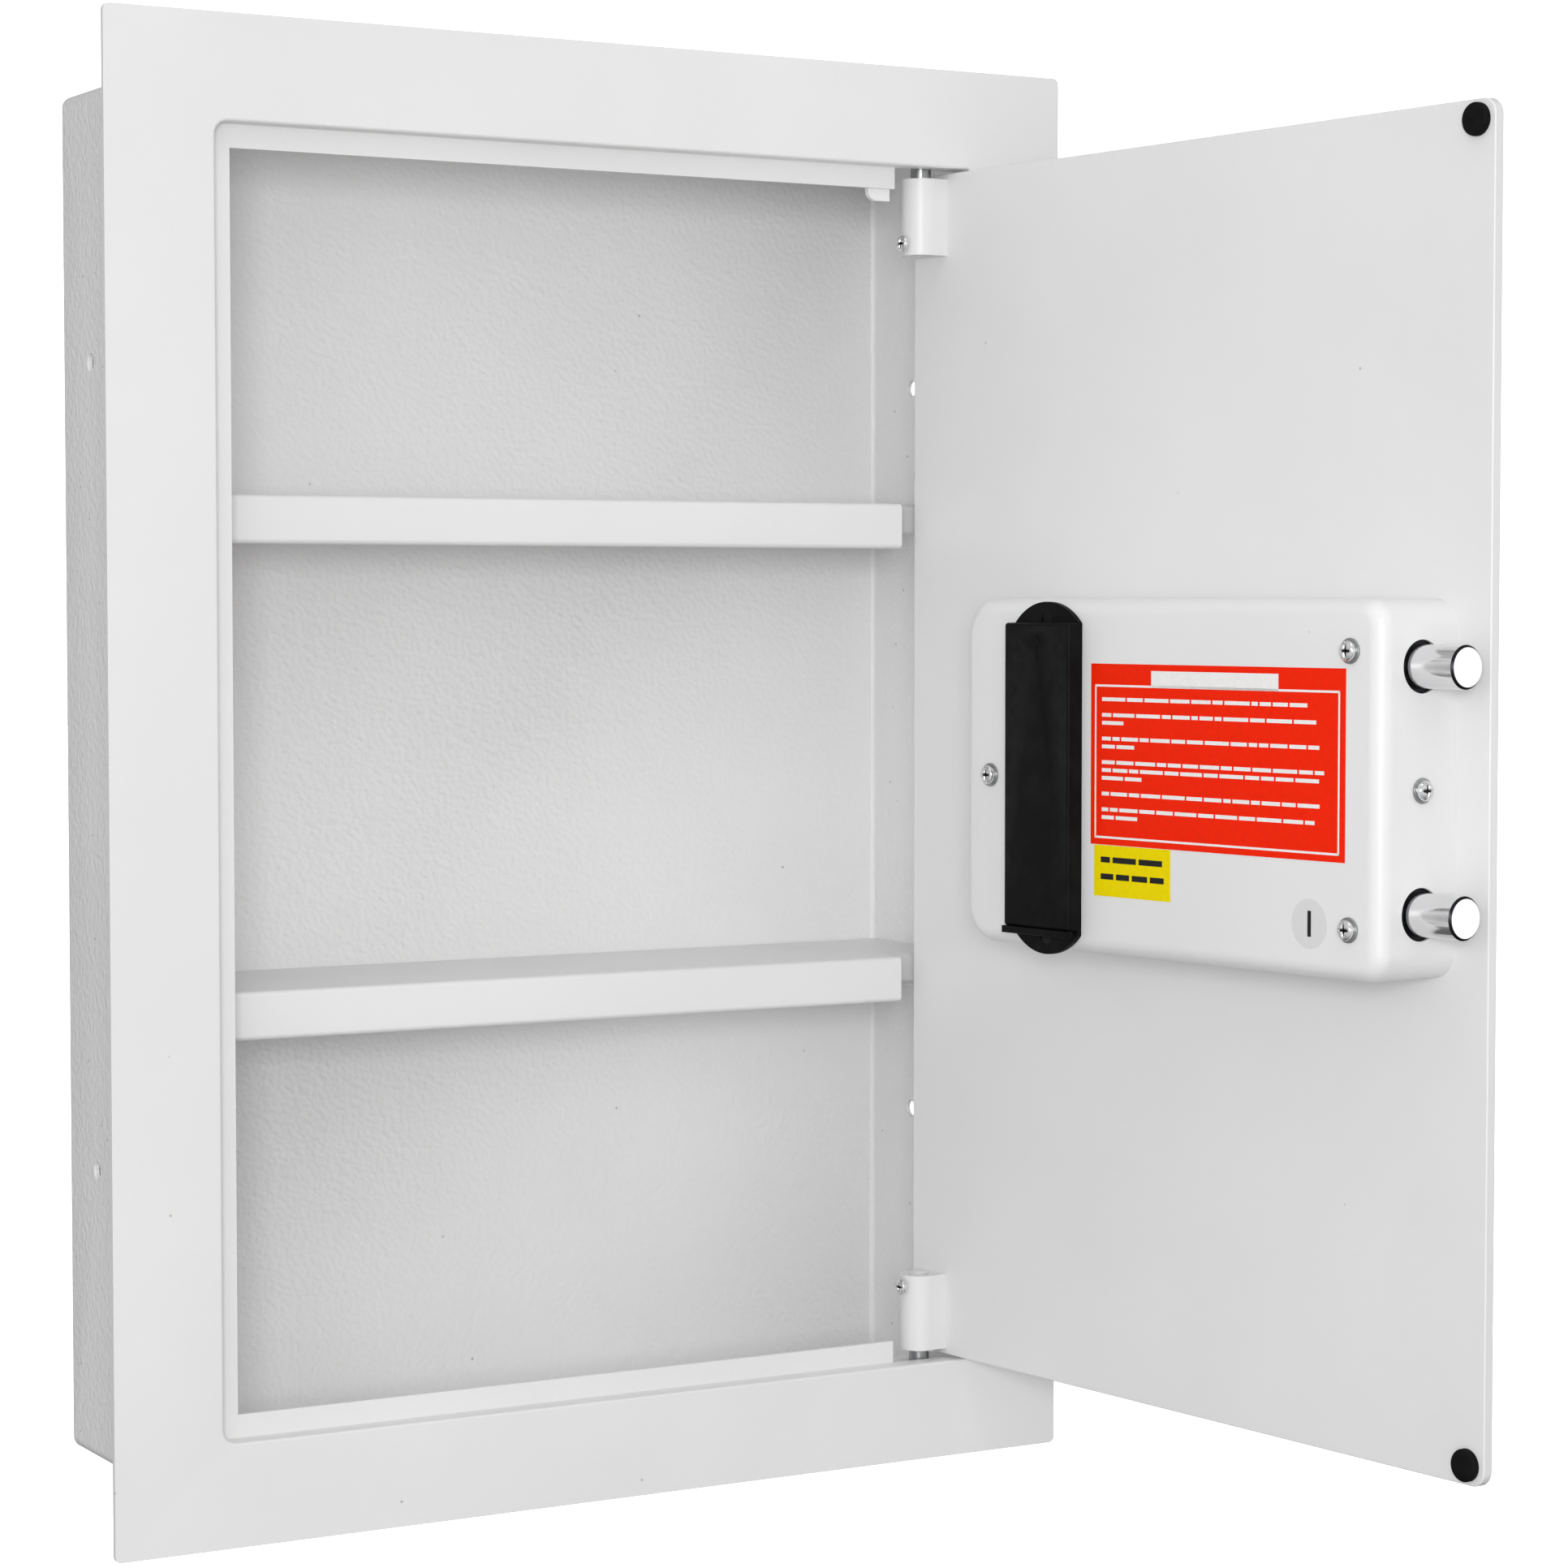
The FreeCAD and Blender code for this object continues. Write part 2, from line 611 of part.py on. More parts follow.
def drive_rack():
    """Toothed bar on the carriage, in mesh with the drive pinion."""
    x0 = carriage_x + carriage_t
    x1 = gear_x + 8
    root = rack_y + rack_body
    bar = box(x0, x1, rack_y, root, gear_z0, gear_z0 + rack_w)
    pitch = math.pi * gear_module
    height = 2.25 * gear_module
    slope = math.tan(math.radians(20))
    foot = pitch / 4 + 1.25 * gear_module * slope - 0.06
    tip = pitch / 4 - gear_module * slope - 0.06
    teeth = []
    count = int((gear_x - x0) / pitch)
    for n in range(-2, count):
        cx = gear_x - n * pitch
        if cx + foot > x1 or cx - foot < x0:
            continue
        outline = [(cx - foot, root, gear_z0), (cx + foot, root, gear_z0),
                   (cx + tip, root + height, gear_z0), (cx - tip, root + height, gear_z0)]
        teeth.append(prism(outline, Z * rack_w))
    return fuse(bar, *teeth)


def pinion_outline():
    """Closed wire of the pinion's teeth from involute flank points."""
    base_r = pitch_r * math.cos(math.radians(20))
    tip_r = pitch_r + gear_module
    root_r = pitch_r - 1.25 * gear_module
    half_pitch = math.pi / (2 * pinion_teeth) - 0.06 / pitch_r
    roll = math.tan(math.radians(20)) - math.radians(20)
    points = []
    for tooth in range(pinion_teeth):
        # a gap between teeth faces the rack's tooth, straight down
        middle = -math.pi / 2 + (tooth + 0.5) * 2 * math.pi / pinion_teeth
        flank = []
        for step in range(5):
            r = base_r + (tip_r - base_r) * step / 4
            a = math.acos(min(1.0, base_r / r))
            flank.append((r, half_pitch + roll - (math.tan(a) - a)))
        flank.insert(0, (root_r, flank[0][1]))
        points += [(r, middle - w) for r, w in flank]
        points += [(r, middle + w) for r, w in reversed(flank)]
    return [(gear_x + r * math.cos(a), pinion_y + r * math.sin(a), gear_z0) for r, a in points]


def drive_pinion():
    """Involute pinion with its output shaft up into the gearbox."""
    gear = prism(pinion_outline(), Z * rack_w)
    shaft = rod(2.5, (gear_x, pinion_y, gear_z0 - 2), Z, rack_w + 2 + mount_plate_t + 5)
    return fuse(gear, shaft)


def bolt_screws():
    """Screws that hold the carriage to the two bolts."""
    screws = []
    for z in bolt_zs:
        head = rod(4.5, (carriage_x + carriage_t, bolt_y, z), X, 3.5)
        head = head.cut(rod(1.8, (carriage_x + carriage_t + 1.5, bolt_y, z), X, 3))
        shank = rod(2.48, (carriage_x - 11, bolt_y, z), X, 11 + carriage_t)
        screws.append(fuse(head, shank))
    return group(screws)


def gear_motor():
    """Gearbox block and round motor can in line."""
    z0 = gear_z0 + rack_w + 0.8 + mount_plate_t
    block = box(gear_x - motor_r, gear_x + motor_r, pinion_y - motor_r, pinion_y + motor_r,
                z0, z0 + gearbox_l)
    block = rounded(block, 4.0, lambda b: flat(b.XMin, b.XMax) and flat(b.YMin, b.YMax))
    can = rod(motor_r, (gear_x, pinion_y, z0 + gearbox_l), Z, motor_l)
    tail = rod(4.0, (gear_x, pinion_y, z0 + gearbox_l + motor_l), Z, 2.0)
    bore = rod(2.55, (gear_x, pinion_y, z0 - 1), Z, 7)
    return fuse(block, can, tail).cut(bore)


def motor_bracket():
    """Bent plate that stands on the door and carries the gearbox."""
    z0 = gear_z0 + rack_w + 0.8
    wall = box(gear_x - 15, gear_x + 15, door_y1, pinion_y + motor_r, z0, z0 + mount_plate_t)
    foot = box(gear_x - 15, gear_x + 15, door_y1, door_y1 + mount_plate_t,
               z0, z0 + mount_plate_t + 14)
    return fuse(wall, foot).cut(rod(4.0, (gear_x, pinion_y, z0 - 1), Z, 5))


def spring_rod():
    """Guide rod of the return spring with the lug that holds it."""
    lug_x = cover_x0 + rod_lug_x
    lug = box(lug_x, lug_x + 2, door_y1, spring_y + 6, spring_z - 5, spring_z + 5)
    foot = box(lug_x + 2, lug_x + 10, door_y1, door_y1 + 2, spring_z - 5, spring_z + 5)
    bar_x0 = carriage_x - 8
    bar = rod(rod_r, (bar_x0, spring_y, spring_z), X, lug_x - bar_x0)
    return fuse(lug, foot, bar)


def return_spring():
    """Compression spring that throws the bolts; drawn as its outer sleeve."""
    x0 = carriage_x + carriage_t
    length = cover_x0 + rod_lug_x - x0
    sleeve = rod(spring_r, (x0, spring_y, spring_z), X, length)
    return sleeve.cut(rod(spring_r - spring_wire, (x0, spring_y, spring_z), X, length))


def limit_switch():
    """Small switch that senses the carriage."""
    x0 = carriage_x + carriage_t + throw + 1.0
    z0 = bolt_zs[1] - 12
    case = box(x0, x0 + 13, door_y1, door_y1 + 7, z0, z0 + 6)
    pins = [box(x0 + 2 + 4 * n, x0 + 3 + 4 * n, door_y1 + 2, door_y1 + 4, z0 - 3, z0) for n in range(3)]
    return fuse(case, *pins)


# --------------------------------------------------------------- the key cylinder
def key_cylinder():
    """Cylinder housing through the door, with a head under the cap."""
    front = door_y0 - cyl_front
    length = cyl_front + door_t + cyl_back
    barrel = rod(cyl_r, (key_cx, front, key_cz), Y, length)
    head = rod(cyl_head_r, (key_cx, front, key_cz), Y, 2.5)
    return fuse(barrel, head).cut(rod(plug_r + plug_clear, (key_cx, front - 1, key_cz), Y, length + 2))


def cylinder_nut():
    """Hexagon nut that clamps the cylinder to the door."""
    r = nut_across / math.sqrt(3)
    hexagon = [(key_cx + r * math.cos(math.pi * k / 3), door_y1, key_cz + r * math.sin(math.pi * k / 3))
               for k in range(6)]
    return prism(hexagon, Y * nut_t).cut(rod(cyl_r, (key_cx, door_y1 - 1, key_cz), Y, nut_t + 2))


def key_plug():
    """Turning plug with a double-sided keyway."""
    front = door_y0 - cyl_front
    plug = rod(plug_r, (key_cx, front, key_cz), Y, cam_y - front)
    keyway = box(key_cx - 1.0, key_cx + 1.0, front - 1, front + 18, key_cz - 4.2, key_cz + 4.2)
    return plug.cut(keyway)


def key_cam():
    """Crank on the plug, with the pin that rides in the carriage's slot."""
    angle = math.radians(cam_turn / 2)
    hub = rod(8.0, (key_cx, cam_y, key_cz), Y, cam_t)
    web = box(key_cx - 4, key_cx + 4, cam_y, cam_y + cam_t, key_cz, key_cz + cam_arm_r)
    tip = rod(4.0, (key_cx, cam_y, key_cz + cam_arm_r), Y, cam_t)
    pin = rod(cam_pin_r, (key_cx, cam_y + cam_t, key_cz + cam_arm_r), Y, arm_y + arm_t + 1 - cam_y - cam_t)
    cam = fuse(hub, web, tip, pin)
    cam = cam.cut(rod(2.0, (key_cx, cam_y - 1, key_cz), Y, cam_t + 2))
    return cam.rotated(Vector(key_cx, 0, key_cz), Y, -math.degrees(angle))


def cam_screw():
    """Screw that holds the cam on the plug."""
    head = rod(3.6, (key_cx, cam_y + cam_t, key_cz), Y, 2.2)
    head = head.cut(box(key_cx - 3.6, key_cx + 3.6, cam_y + cam_t + 1.2, cam_y + cam_t + 3,
                        key_cz - 0.5, key_cz + 0.5))
    return fuse(head, rod(1.98, (key_cx, cam_y, key_cz), Y, cam_t))


# ------------------------------------------------------------------- the reader
def reader_bezel():
    """Long half-round-ended case on the door's front, hollow at the back."""
    cz = lock_z
    case = stadium(key_cx, cz, reader_w, reader_h, reader_y, door_y0)
    case = rounded(case, reader_edge, lambda b: flat(b.YMin, b.YMax) and abs(b.YMin - reader_y) < 1e-6)
    hollow = stadium(key_cx, cz, reader_w - 2 * reader_wall, reader_h - 2 * reader_wall,
                     reader_y + reader_wall + window_recess, door_y0 + 1)
    case = case.cut(hollow)
    wz = cz + window_up
    well = box(key_cx - window_w / 2 - 3, key_cx + window_w / 2 + 3, reader_y - 1, reader_y + window_recess,
               wz - window_h / 2 - 3, wz + window_h / 2 + 3)
    well = rounded(well, 6.0, upright_edge)
    well = rounded(well, 2.0, lambda b: flat(b.YMin, b.YMax) and b.YMin > reader_y)
    case = case.cut(well)
    case = case.cut(box(key_cx - window_w / 2, key_cx + window_w / 2, reader_y, door_y0,
                        wz - window_h / 2, wz + window_h / 2))
    for x in led_places():
        case = case.cut(rod(led_r, (x, reader_y - 1, cz + led_up), Y, reader_t))
    case = case.cut(rod(cyl_head_r + 0.2, (key_cx, reader_y - 1, key_cz), Y, reader_t))
    return case.cut(rod(cap_pivot_r, (key_cx, reader_y - 1, key_cz + cap_pivot_up), Y, 8.0))


def led_places():
    """Row of three indicator places across the reader."""
    return [key_cx + led_pitch * n for n in (-1, 0, 1)]


def sensor_window():
    """Glass pad that the finger rests on."""
    wz = lock_z + window_up
    y0 = reader_y + window_recess
    return box(key_cx - window_w / 2 + 0.1, key_cx + window_w / 2 - 0.1, y0, y0 + 2.0,
               wz - window_h / 2 + 0.1, wz + window_h / 2 - 0.1)


def sensor_module():
    """Reader module behind the glass pad."""
    wz = lock_z + window_up
    y0 = reader_y + window_recess + 2.0
    return box(key_cx - window_w / 2 + 1, key_cx + window_w / 2 - 1, y0, y0 + 5.0,
               wz - window_h / 2 + 1, wz + window_h / 2 - 1)


def status_leds():
    """Three domed indicators."""
    leds = []
    for x in led_places():
        led = rod(led_r - 0.05, (x, reader_y - 0.4, lock_z + led_up), Y, 8.0)
        nose = min(led.Edges, key=lambda e: e.BoundBox.YMax if e.Closed else 99)
        leds.append(led.makeFillet(0.8, [nose]))
    return group(leds)


def keyhole_cap():
    """Swinging cap over the keyhole, on a pivot above it."""
    y1 = reader_y - cap_gap
    y0 = y1 - cap_t
    pivot_z = key_cz + cap_pivot_up
    disc = rod(cap_r, (key_cx, y0, key_cz), Y, cap_t)
    ear = rod(5.0, (key_cx, y0, pivot_z), Y, cap_t)
    web = box(key_cx - 5, key_cx + 5, y0, y1, key_cz, pivot_z)
    cap = fuse(disc, ear, web)
    cap = rounded(cap, 0.8, lambda b: flat(b.YMin, b.YMax) and abs(b.YMin - y0) < 1e-6)
    stem = rod(cap_pivot_r - 0.05, (key_cx, y0 + 0.5, pivot_z), Y, 7.5)
    thumb = box(key_cx - 5, key_cx + 5, y0 - 1.5, y0, key_cz - cap_r + 2.5, key_cz - cap_r + 4.5)
    return fuse(cap, stem, thumb)


# ------------------------------------------------------------- power and circuit
def pocket_half():
    """Half width and half height of the battery bay's pocket, outside its walls."""
    return (bay_w / 2 - 1.0, bay_h / 2 - 1.5)


def tray_screw_z(side):
    """Height of the tray's screw at its upper or lower end."""
    return bay_z - tray_drop + side * (bay_h / 2 + tray_screw_out)


def battery_tray():
    """Moulded bay with an arc-ended flange, a deep pocket and two guide rails."""
    px, pz = pocket_half()
    plate = box(bay_cx - bay_w / 2 + 0.5, bay_cx + bay_w / 2 - 0.5, cover_y, tray_y,
                bay_z - bay_h / 2 + 1, bay_z + bay_h / 2 - 1)
    ends = []
    for side in (1, -1):
        centre = bay_z - tray_drop + side * (bay_h / 2 + tray_end - tray_end_r)
        disc = rod(tray_end_r, (bay_cx, cover_y, centre), Y, tray_flange_t)
        keep = box(bay_cx - bay_w / 2 + 0.5, bay_cx + bay_w / 2 - 0.5, cover_y - 1, tray_y + 1,
                   *sorted((bay_z + side * (bay_h / 2 - 3), bay_z + side * (bay_h / 2 + 20))))
        ends.append(disc.common(keep))
    floor_y = tray_y - tray_depth
    pocket = box(bay_cx - px, bay_cx + px, floor_y - tray_wall, tray_y, bay_z - pz, bay_z + pz)
    hollow = box(bay_cx - px + tray_wall, bay_cx + px - tray_wall, floor_y, tray_y + 5,
                 bay_z - pz + tray_wall, bay_z + pz - tray_wall)
    rails = []
    for side in (1, -1):
        inner = bay_cx + side * (px - tray_wall)
        web = sorted((inner, inner + side * rail_t))
        lip = sorted((inner, inner + side * (rail_t + rail_lip)))
        ends_z = (bay_z - pz + 1, bay_z + pz - 1)
        rails.append(box(*web, tray_y - 1, tray_y + rail_h, *ends_z))
        rails.append(box(*lip, tray_y + rail_h - 0.8, tray_y + rail_h, *ends_z))
    tray = fuse(plate, pocket, *ends, *rails).cut(hollow)
    for side in (1, -1):
        z = tray_screw_z(side)
        tray = tray.cut(rod(1.7, (bay_cx, cover_y - 1, z), Y, 5))
        tray = tray.cut(rod(2.9, (bay_cx, tray_y - 1.1, z), Y, 3))
    return tray.cut(rod(button_r + 0.1, (button_x(), floor_y - 3, bay_z + button_up), Y, 6))


def button_x():
    """Place of the setting button, beside the cells on the bay's bolt side."""
    return bay_cx - pocket_half()[0] + tray_wall + button_r + 0.1


def tray_screws():
    """Small screws sunk in the tray's two ends."""
    screws = []
    for side in (1, -1):
        z = tray_screw_z(side)
        head = rod(2.8, (bay_cx, tray_y - 1.1, z), Y, 0.9)
        head = head.cut(box(bay_cx - 3, bay_cx + 3, tray_y - 0.6, tray_y + 1, z - 0.35, z + 0.35))
        shank_y = cover_y - cover_t - 4
        shank = rod(1.6, (bay_cx, shank_y, z), Y, tray_y - 1.1 - shank_y)
        screws.append(fuse(head, shank))
    return group(screws)


def battery_lid():
    """Sliding cover on the tray's rails, with a finger lip and a raised arrow."""
    x0 = bay_cx - bay_w / 2
    x1 = bay_cx + bay_w / 2
    z0 = bay_z - bay_h / 2
    z1 = bay_z + bay_h / 2
    low = tray_y + lid_gap
    shell = box(x0, x1, low, lid_y, z0, z1)
    shell = rounded(shell, 1.2, lambda b: flat(b.YMin, b.YMax) and abs(b.YMin - lid_y) < 1e-6
                    or upright_edge(b))
    web = pocket_half()[0] - tray_wall + rail_t
    inside = web + rail_lip + slide_clear
    shell = shell.cut(box(bay_cx - inside, bay_cx + inside, low - 1, lid_y - lid_t, z0 - 5, z1 - lid_t))
    hooks = []
    for side in (1, -1):
        xs = sorted((bay_cx + side * (web + slide_clear), bay_cx + side * (bay_w / 2 - 0.3)))
        hooks.append(box(*xs, low, low + 0.9, z0 + 3, z1 - 1))
    lip = box(x0, x1, tray_y + rail_h + 0.3, lid_y + lid_lip, z0 - lid_lip_t, z0)
    lip = rounded(lip, 0.5, lambda b: b.YMin > lid_y + lid_lip - 0.01)
    tip = z1 - arrow_top
    wing = tip - arrow_l * 0.4
    outline = [(arrow_w / 2, wing), (arrow_w / 7, wing), (arrow_w / 7, tip - arrow_l),
               (-arrow_w / 7, tip - arrow_l), (-arrow_w / 7, wing), (-arrow_w / 2, wing), (0, tip)]
    arrow = prism([(bay_cx + x, lid_y, z) for x, z in outline], Y * 0.3)
    return fuse(shell, lip, arrow, *hooks)


def cell_places():
    """Axis and start of each of the four round cells."""
    px, pz = pocket_half()
    right = bay_cx + px - tray_wall - cell_r - cell_gap
    y = tray_y - tray_depth + cell_r + cell_gap
    gap = 0.6
    return [(right - column * (2 * cell_r + cell_gap), y, bay_z + (gap if row else -gap - cell_l))
            for column in (0, 1) for row in (0, 1)]


def battery_cells():
    """Four round cells, each with its raised positive end."""
    cells = []
    for index, (x, y, z) in enumerate(cell_places()):
        cell = rod(cell_r, (x, y, z), Z, cell_l - 1.2)
        nub = rod(2.7, (x, y, z + cell_l - 1.2), Z, 1.1)
        cells.append(fuse(cell, nub))
    return group(cells)


def battery_contacts():
    """Spring and plate contacts at both ends of the bay."""
    px, pz = pocket_half()
    parts = []
    low = bay_z - pz + tray_wall
    high = bay_z + pz - tray_wall
    for x, y, z in cell_places():
        if z < bay_z:
            parts.append(fuse(box(x - 5, x + 5, y - 5, y + 5, low, low + 0.4),
                              Part.makeCone(4.0, 2.4, z - low - 0.5, Vector(x, y, low + 0.4), Z)))
        else:
            parts.append(box(x - 5, x + 5, y - 5, y + 5, high - 0.4, high))
    return group(parts)


def setting_button():
    """Push button beside the cells that puts the reader in its learning mode."""
    floor_y = tray_y - tray_depth
    stem = rod(button_r, (button_x(), floor_y - 4.5, bay_z + button_up), Y, 12.5)
    top = max(stem.Edges, key=lambda e: e.BoundBox.YMin if e.Closed else -99)
    return stem.makeFillet(0.5, [top])


def circuit_board():
    """Printed board on the door under the battery bay."""
    x0 = cover_x0 + board_x
    y0 = door_y1 + board_rise
    board = box(x0, x0 + board_w, y0, y0 + board_t, bay_z - board_h / 2, bay_z + board_h / 2)
    for x, z in board_corners():
        board = board.cut(rod(1.6, (x, y0 - 1, z), Y, 4))
    return board


def board_corners():
    """Fixing points of the circuit board."""
    x0 = cover_x0 + board_x + 4
    x1 = x0 + board_w - 8
    return [(x, bay_z + side * (board_h / 2 - 4)) for x in (x0, x1) for side in (1, -1)]


def board_posts():
    """Spacers with screws that hold the board off the door."""
    posts = []
    y0 = door_y1
    for x, z in board_corners():
        spacer = rod(3.0, (x, y0, z), Y, board_rise)
        screw = rod(1.5, (x, y0 + board_rise, z), Y, board_t)
        head = rod(2.8, (x, y0 + board_rise + board_t, z), Y, 1.8)
        posts.append(fuse(spacer, screw, head))
    return group(posts)


def board_parts():
    """Chips, capacitors and sockets on the board."""
    y0 = door_y1 + board_rise + board_t
    x0 = cover_x0 + board_x
    parts = [box(x0 + 14, x0 + 30, y0, y0 + 1.8, bay_z - 10, bay_z + 6),
             box(x0 + 40, x0 + 50, y0, y0 + 1.6, bay_z + 12, bay_z + 24),
             box(x0 + 6, x0 + 12, y0, y0 + 6.0, bay_z - 36, bay_z - 22),
             box(x0 + 6, x0 + 12, y0, y0 + 6.0, bay_z + 22, bay_z + 36),
             box(x0 + 30, x0 + 42, y0, y0 + 6.0, bay_z - 47, bay_z - 41)]
    for n in range(3):
        parts.append(rod(3.2, (x0 + 36 + 9 * n, y0, bay_z - 28), Y, 8.0))
    return group(parts)


def buzzer():
    """Round sounder with its sound hole."""
    y0 = door_y1 + board_rise + board_t
    x = cover_x0 + board_x + 58
    can = rod(6.0, (x, y0, bay_z + 38), Y, 8.0)
    return can.cut(rod(1.2, (x, y0 + 4, bay_z + 38), Y, 6))


def board_button():
    """Tactile switch under the setting button."""
    y0 = door_y1 + board_rise + board_t
    return box(button_x() - 3, button_x() + 3, y0, tray_y - tray_depth - 4.5 - 1.2,
               bay_z + button_up - 3, bay_z + button_up + 3)


def motor_leads():
    """Pair of wires from the motor's tail to the board."""
    z0 = gear_z0 + rack_w + 0.8 + mount_plate_t + gearbox_l + motor_l + 0.3
    y0 = pinion_y + 6
    end_y = door_y1 + board_rise + board_t + 6.0
    sx = cover_x0 + board_x + 9
    wires = []
    for off in (-2.4, 2.4):
        wires.append(bent_tube([(gear_x + 8 + off / 2, y0 - 6 + off, z0 - 0.3),
                                (gear_x + 8 + off / 2, y0 - 6 + off, z0 + 3.2),
                                (sx + off / 2, y0 - 6 + off, z0 - 8),
                                (sx + off / 2, y0 - 6 + off, bay_z + 30),
                                (sx + off / 2, end_y, bay_z + 30)], 0.7, 1.8))
    return group(wires)


def sensor_lead():
    """Flat lead from the reader through the door to the board."""
    wz = lock_z + window_up
    y0 = reader_y + window_recess + 7.0
    y1 = door_y1 + 2.6
    sx = cover_x0 + board_x - 2.0
    ribbon = box(key_cx - 0.4, key_cx + 0.4, y0, y1 + 0.8, wz - 4, wz + 4)
    run = box(key_cx + 0.4, sx, y1, y1 + 0.8, wz - 4, wz + 4)
    rise = box(sx, sx + 0.8, y1, door_y1 + board_rise + board_t + 4.0, wz - 4, wz + 4)
    hook = box(sx + 0.8, sx + 8.0, door_y1 + board_rise + board_t + 3.2,
               door_y1 + board_rise + board_t + 4.0, wz - 4, wz + 4)
    return fuse(ribbon, run, rise, hook)


def battery_leads():
    """Wires from the tray's floor down to the board."""
    px, pz = pocket_half()
    top = tray_y - tray_depth - tray_wall
    y0 = door_y1 + board_rise + board_t + 6.0
    x0 = cover_x0 + board_x
    wires = []
    for n in (0, 1):
        x = x0 + 33 + 5 * n
        z = bay_z - 44
        wires.append(rod(0.8, (x, y0, z), Y, top - y0))
    return group(wires)


def notice_label():
    """Large sticker on the lock cover's face."""
    return box(cover_x0 + 16.6, cover_x0 + 147.8, cover_y, cover_y + label_t,
               lock_z - 24.6, lock_z + 41.3)


def rating_label():
    """Small sticker under the large one."""
    return box(cover_x0 + 104.5, cover_x0 + 145.8, cover_y, cover_y + label_t,
               lock_z - 43.4, lock_z - 24.8)


def round_label():
    """Round clear sticker near the lower bolt."""
    return rod(8.6, (cover_x0 + 33.5, cover_y, lock_z - 46.3), Y, label_t)


# ------------------------------------------------------------------ write it out
def on_door(shape):
    """Turn a piece drawn with the door shut to where the open door holds it."""
    return shape.rotated(Vector(hinge_x, hinge_y, 0), Z, door_open_deg)


HOUSING = {
    "body_shell": body_shell(),
    "face_frame": face_frame(),
    "hinge_bracket_top": hinge_bracket(bracket_leg_drop["top"]),
    "hinge_bracket_bottom": mirrored_z(hinge_bracket(bracket_leg_drop["bottom"])),
    "shelf_upper": shelf(shelf_tops["upper"]),
    "shelf_lower": shelf(shelf_tops["lower"]),
    "shelf_tabs": shelf_tabs(),
}

DOOR = {
    "door_plate": door_plate(),
    "hinge_knuckle_top": knuckle(),
    "hinge_knuckle_bottom": mirrored_z(knuckle()),
    "hinge_pin_top": hinge_pin(),
    "hinge_pin_bottom": mirrored_z(hinge_pin()),
    "knuckle_screws": knuckle_screws(),
    "bumper_pads": bumper_pads(),
    "lock_cover": lock_cover(),
    "cover_screws": cover_screws(),
    "cover_washers": cover_washers(),
    "cover_post": cover_post(),
    "bolt_guide": bolt_guide(),
    "locking_bolt_upper": locking_bolt(bolt_zs[0]),
    "locking_bolt_lower": locking_bolt(bolt_zs[1]),
    "bolt_carriage": bolt_carriage(),
    "drive_rack": drive_rack(),
    "bolt_screws": bolt_screws(),
    "drive_pinion": drive_pinion(),
    "gear_motor": gear_motor(),
    "motor_bracket": motor_bracket(),
    "spring_rod": spring_rod(),
    "return_spring": return_spring(),
    "limit_switch": limit_switch(),
    "key_cylinder": key_cylinder(),
    "cylinder_nut": cylinder_nut(),
    "key_plug": key_plug(),
    "key_cam": key_cam(),
    "cam_screw": cam_screw(),
    "reader_bezel": reader_bezel(),
    "sensor_window": sensor_window(),
    "sensor_module": sensor_module(),
    "status_leds": status_leds(),
    "keyhole_cap": keyhole_cap(),
    "battery_tray": battery_tray(),
    "tray_screws": tray_screws(),
    "battery_lid": battery_lid(),
    "battery_cells": battery_cells(),
    "battery_contacts": battery_contacts(),
    "setting_button": setting_button(),
    "circuit_board": circuit_board(),
    "board_posts": board_posts(),
    "board_parts": board_parts(),
    "buzzer": buzzer(),
    "board_button": board_button(),
    "motor_leads": motor_leads(),
    "sensor_lead": sensor_lead(),
    "battery_leads": battery_leads(),
    "notice_label": notice_label(),
    "rating_label": rating_label(),
    "round_label": round_label(),
}

os.makedirs("parts", exist_ok=True)
for name, shape in HOUSING.items():
    shape.exportStep("parts/" + name + ".step")
for name, shape in DOOR.items():
    on_door(shape).exportStep("parts/" + name + ".step")
print(len(HOUSING) + len(DOOR), "nodes")
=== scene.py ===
"""Finishes a recessed wall safe: powder coat, plated bolt work, moulded battery bay and plain labels.

Everything is in metres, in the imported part's own frame: +Z up, +Y into the wall, +X towards the hinges.
Pieces on the door are placed from the door's own three directions, which the joints give.
"""
import json
import math

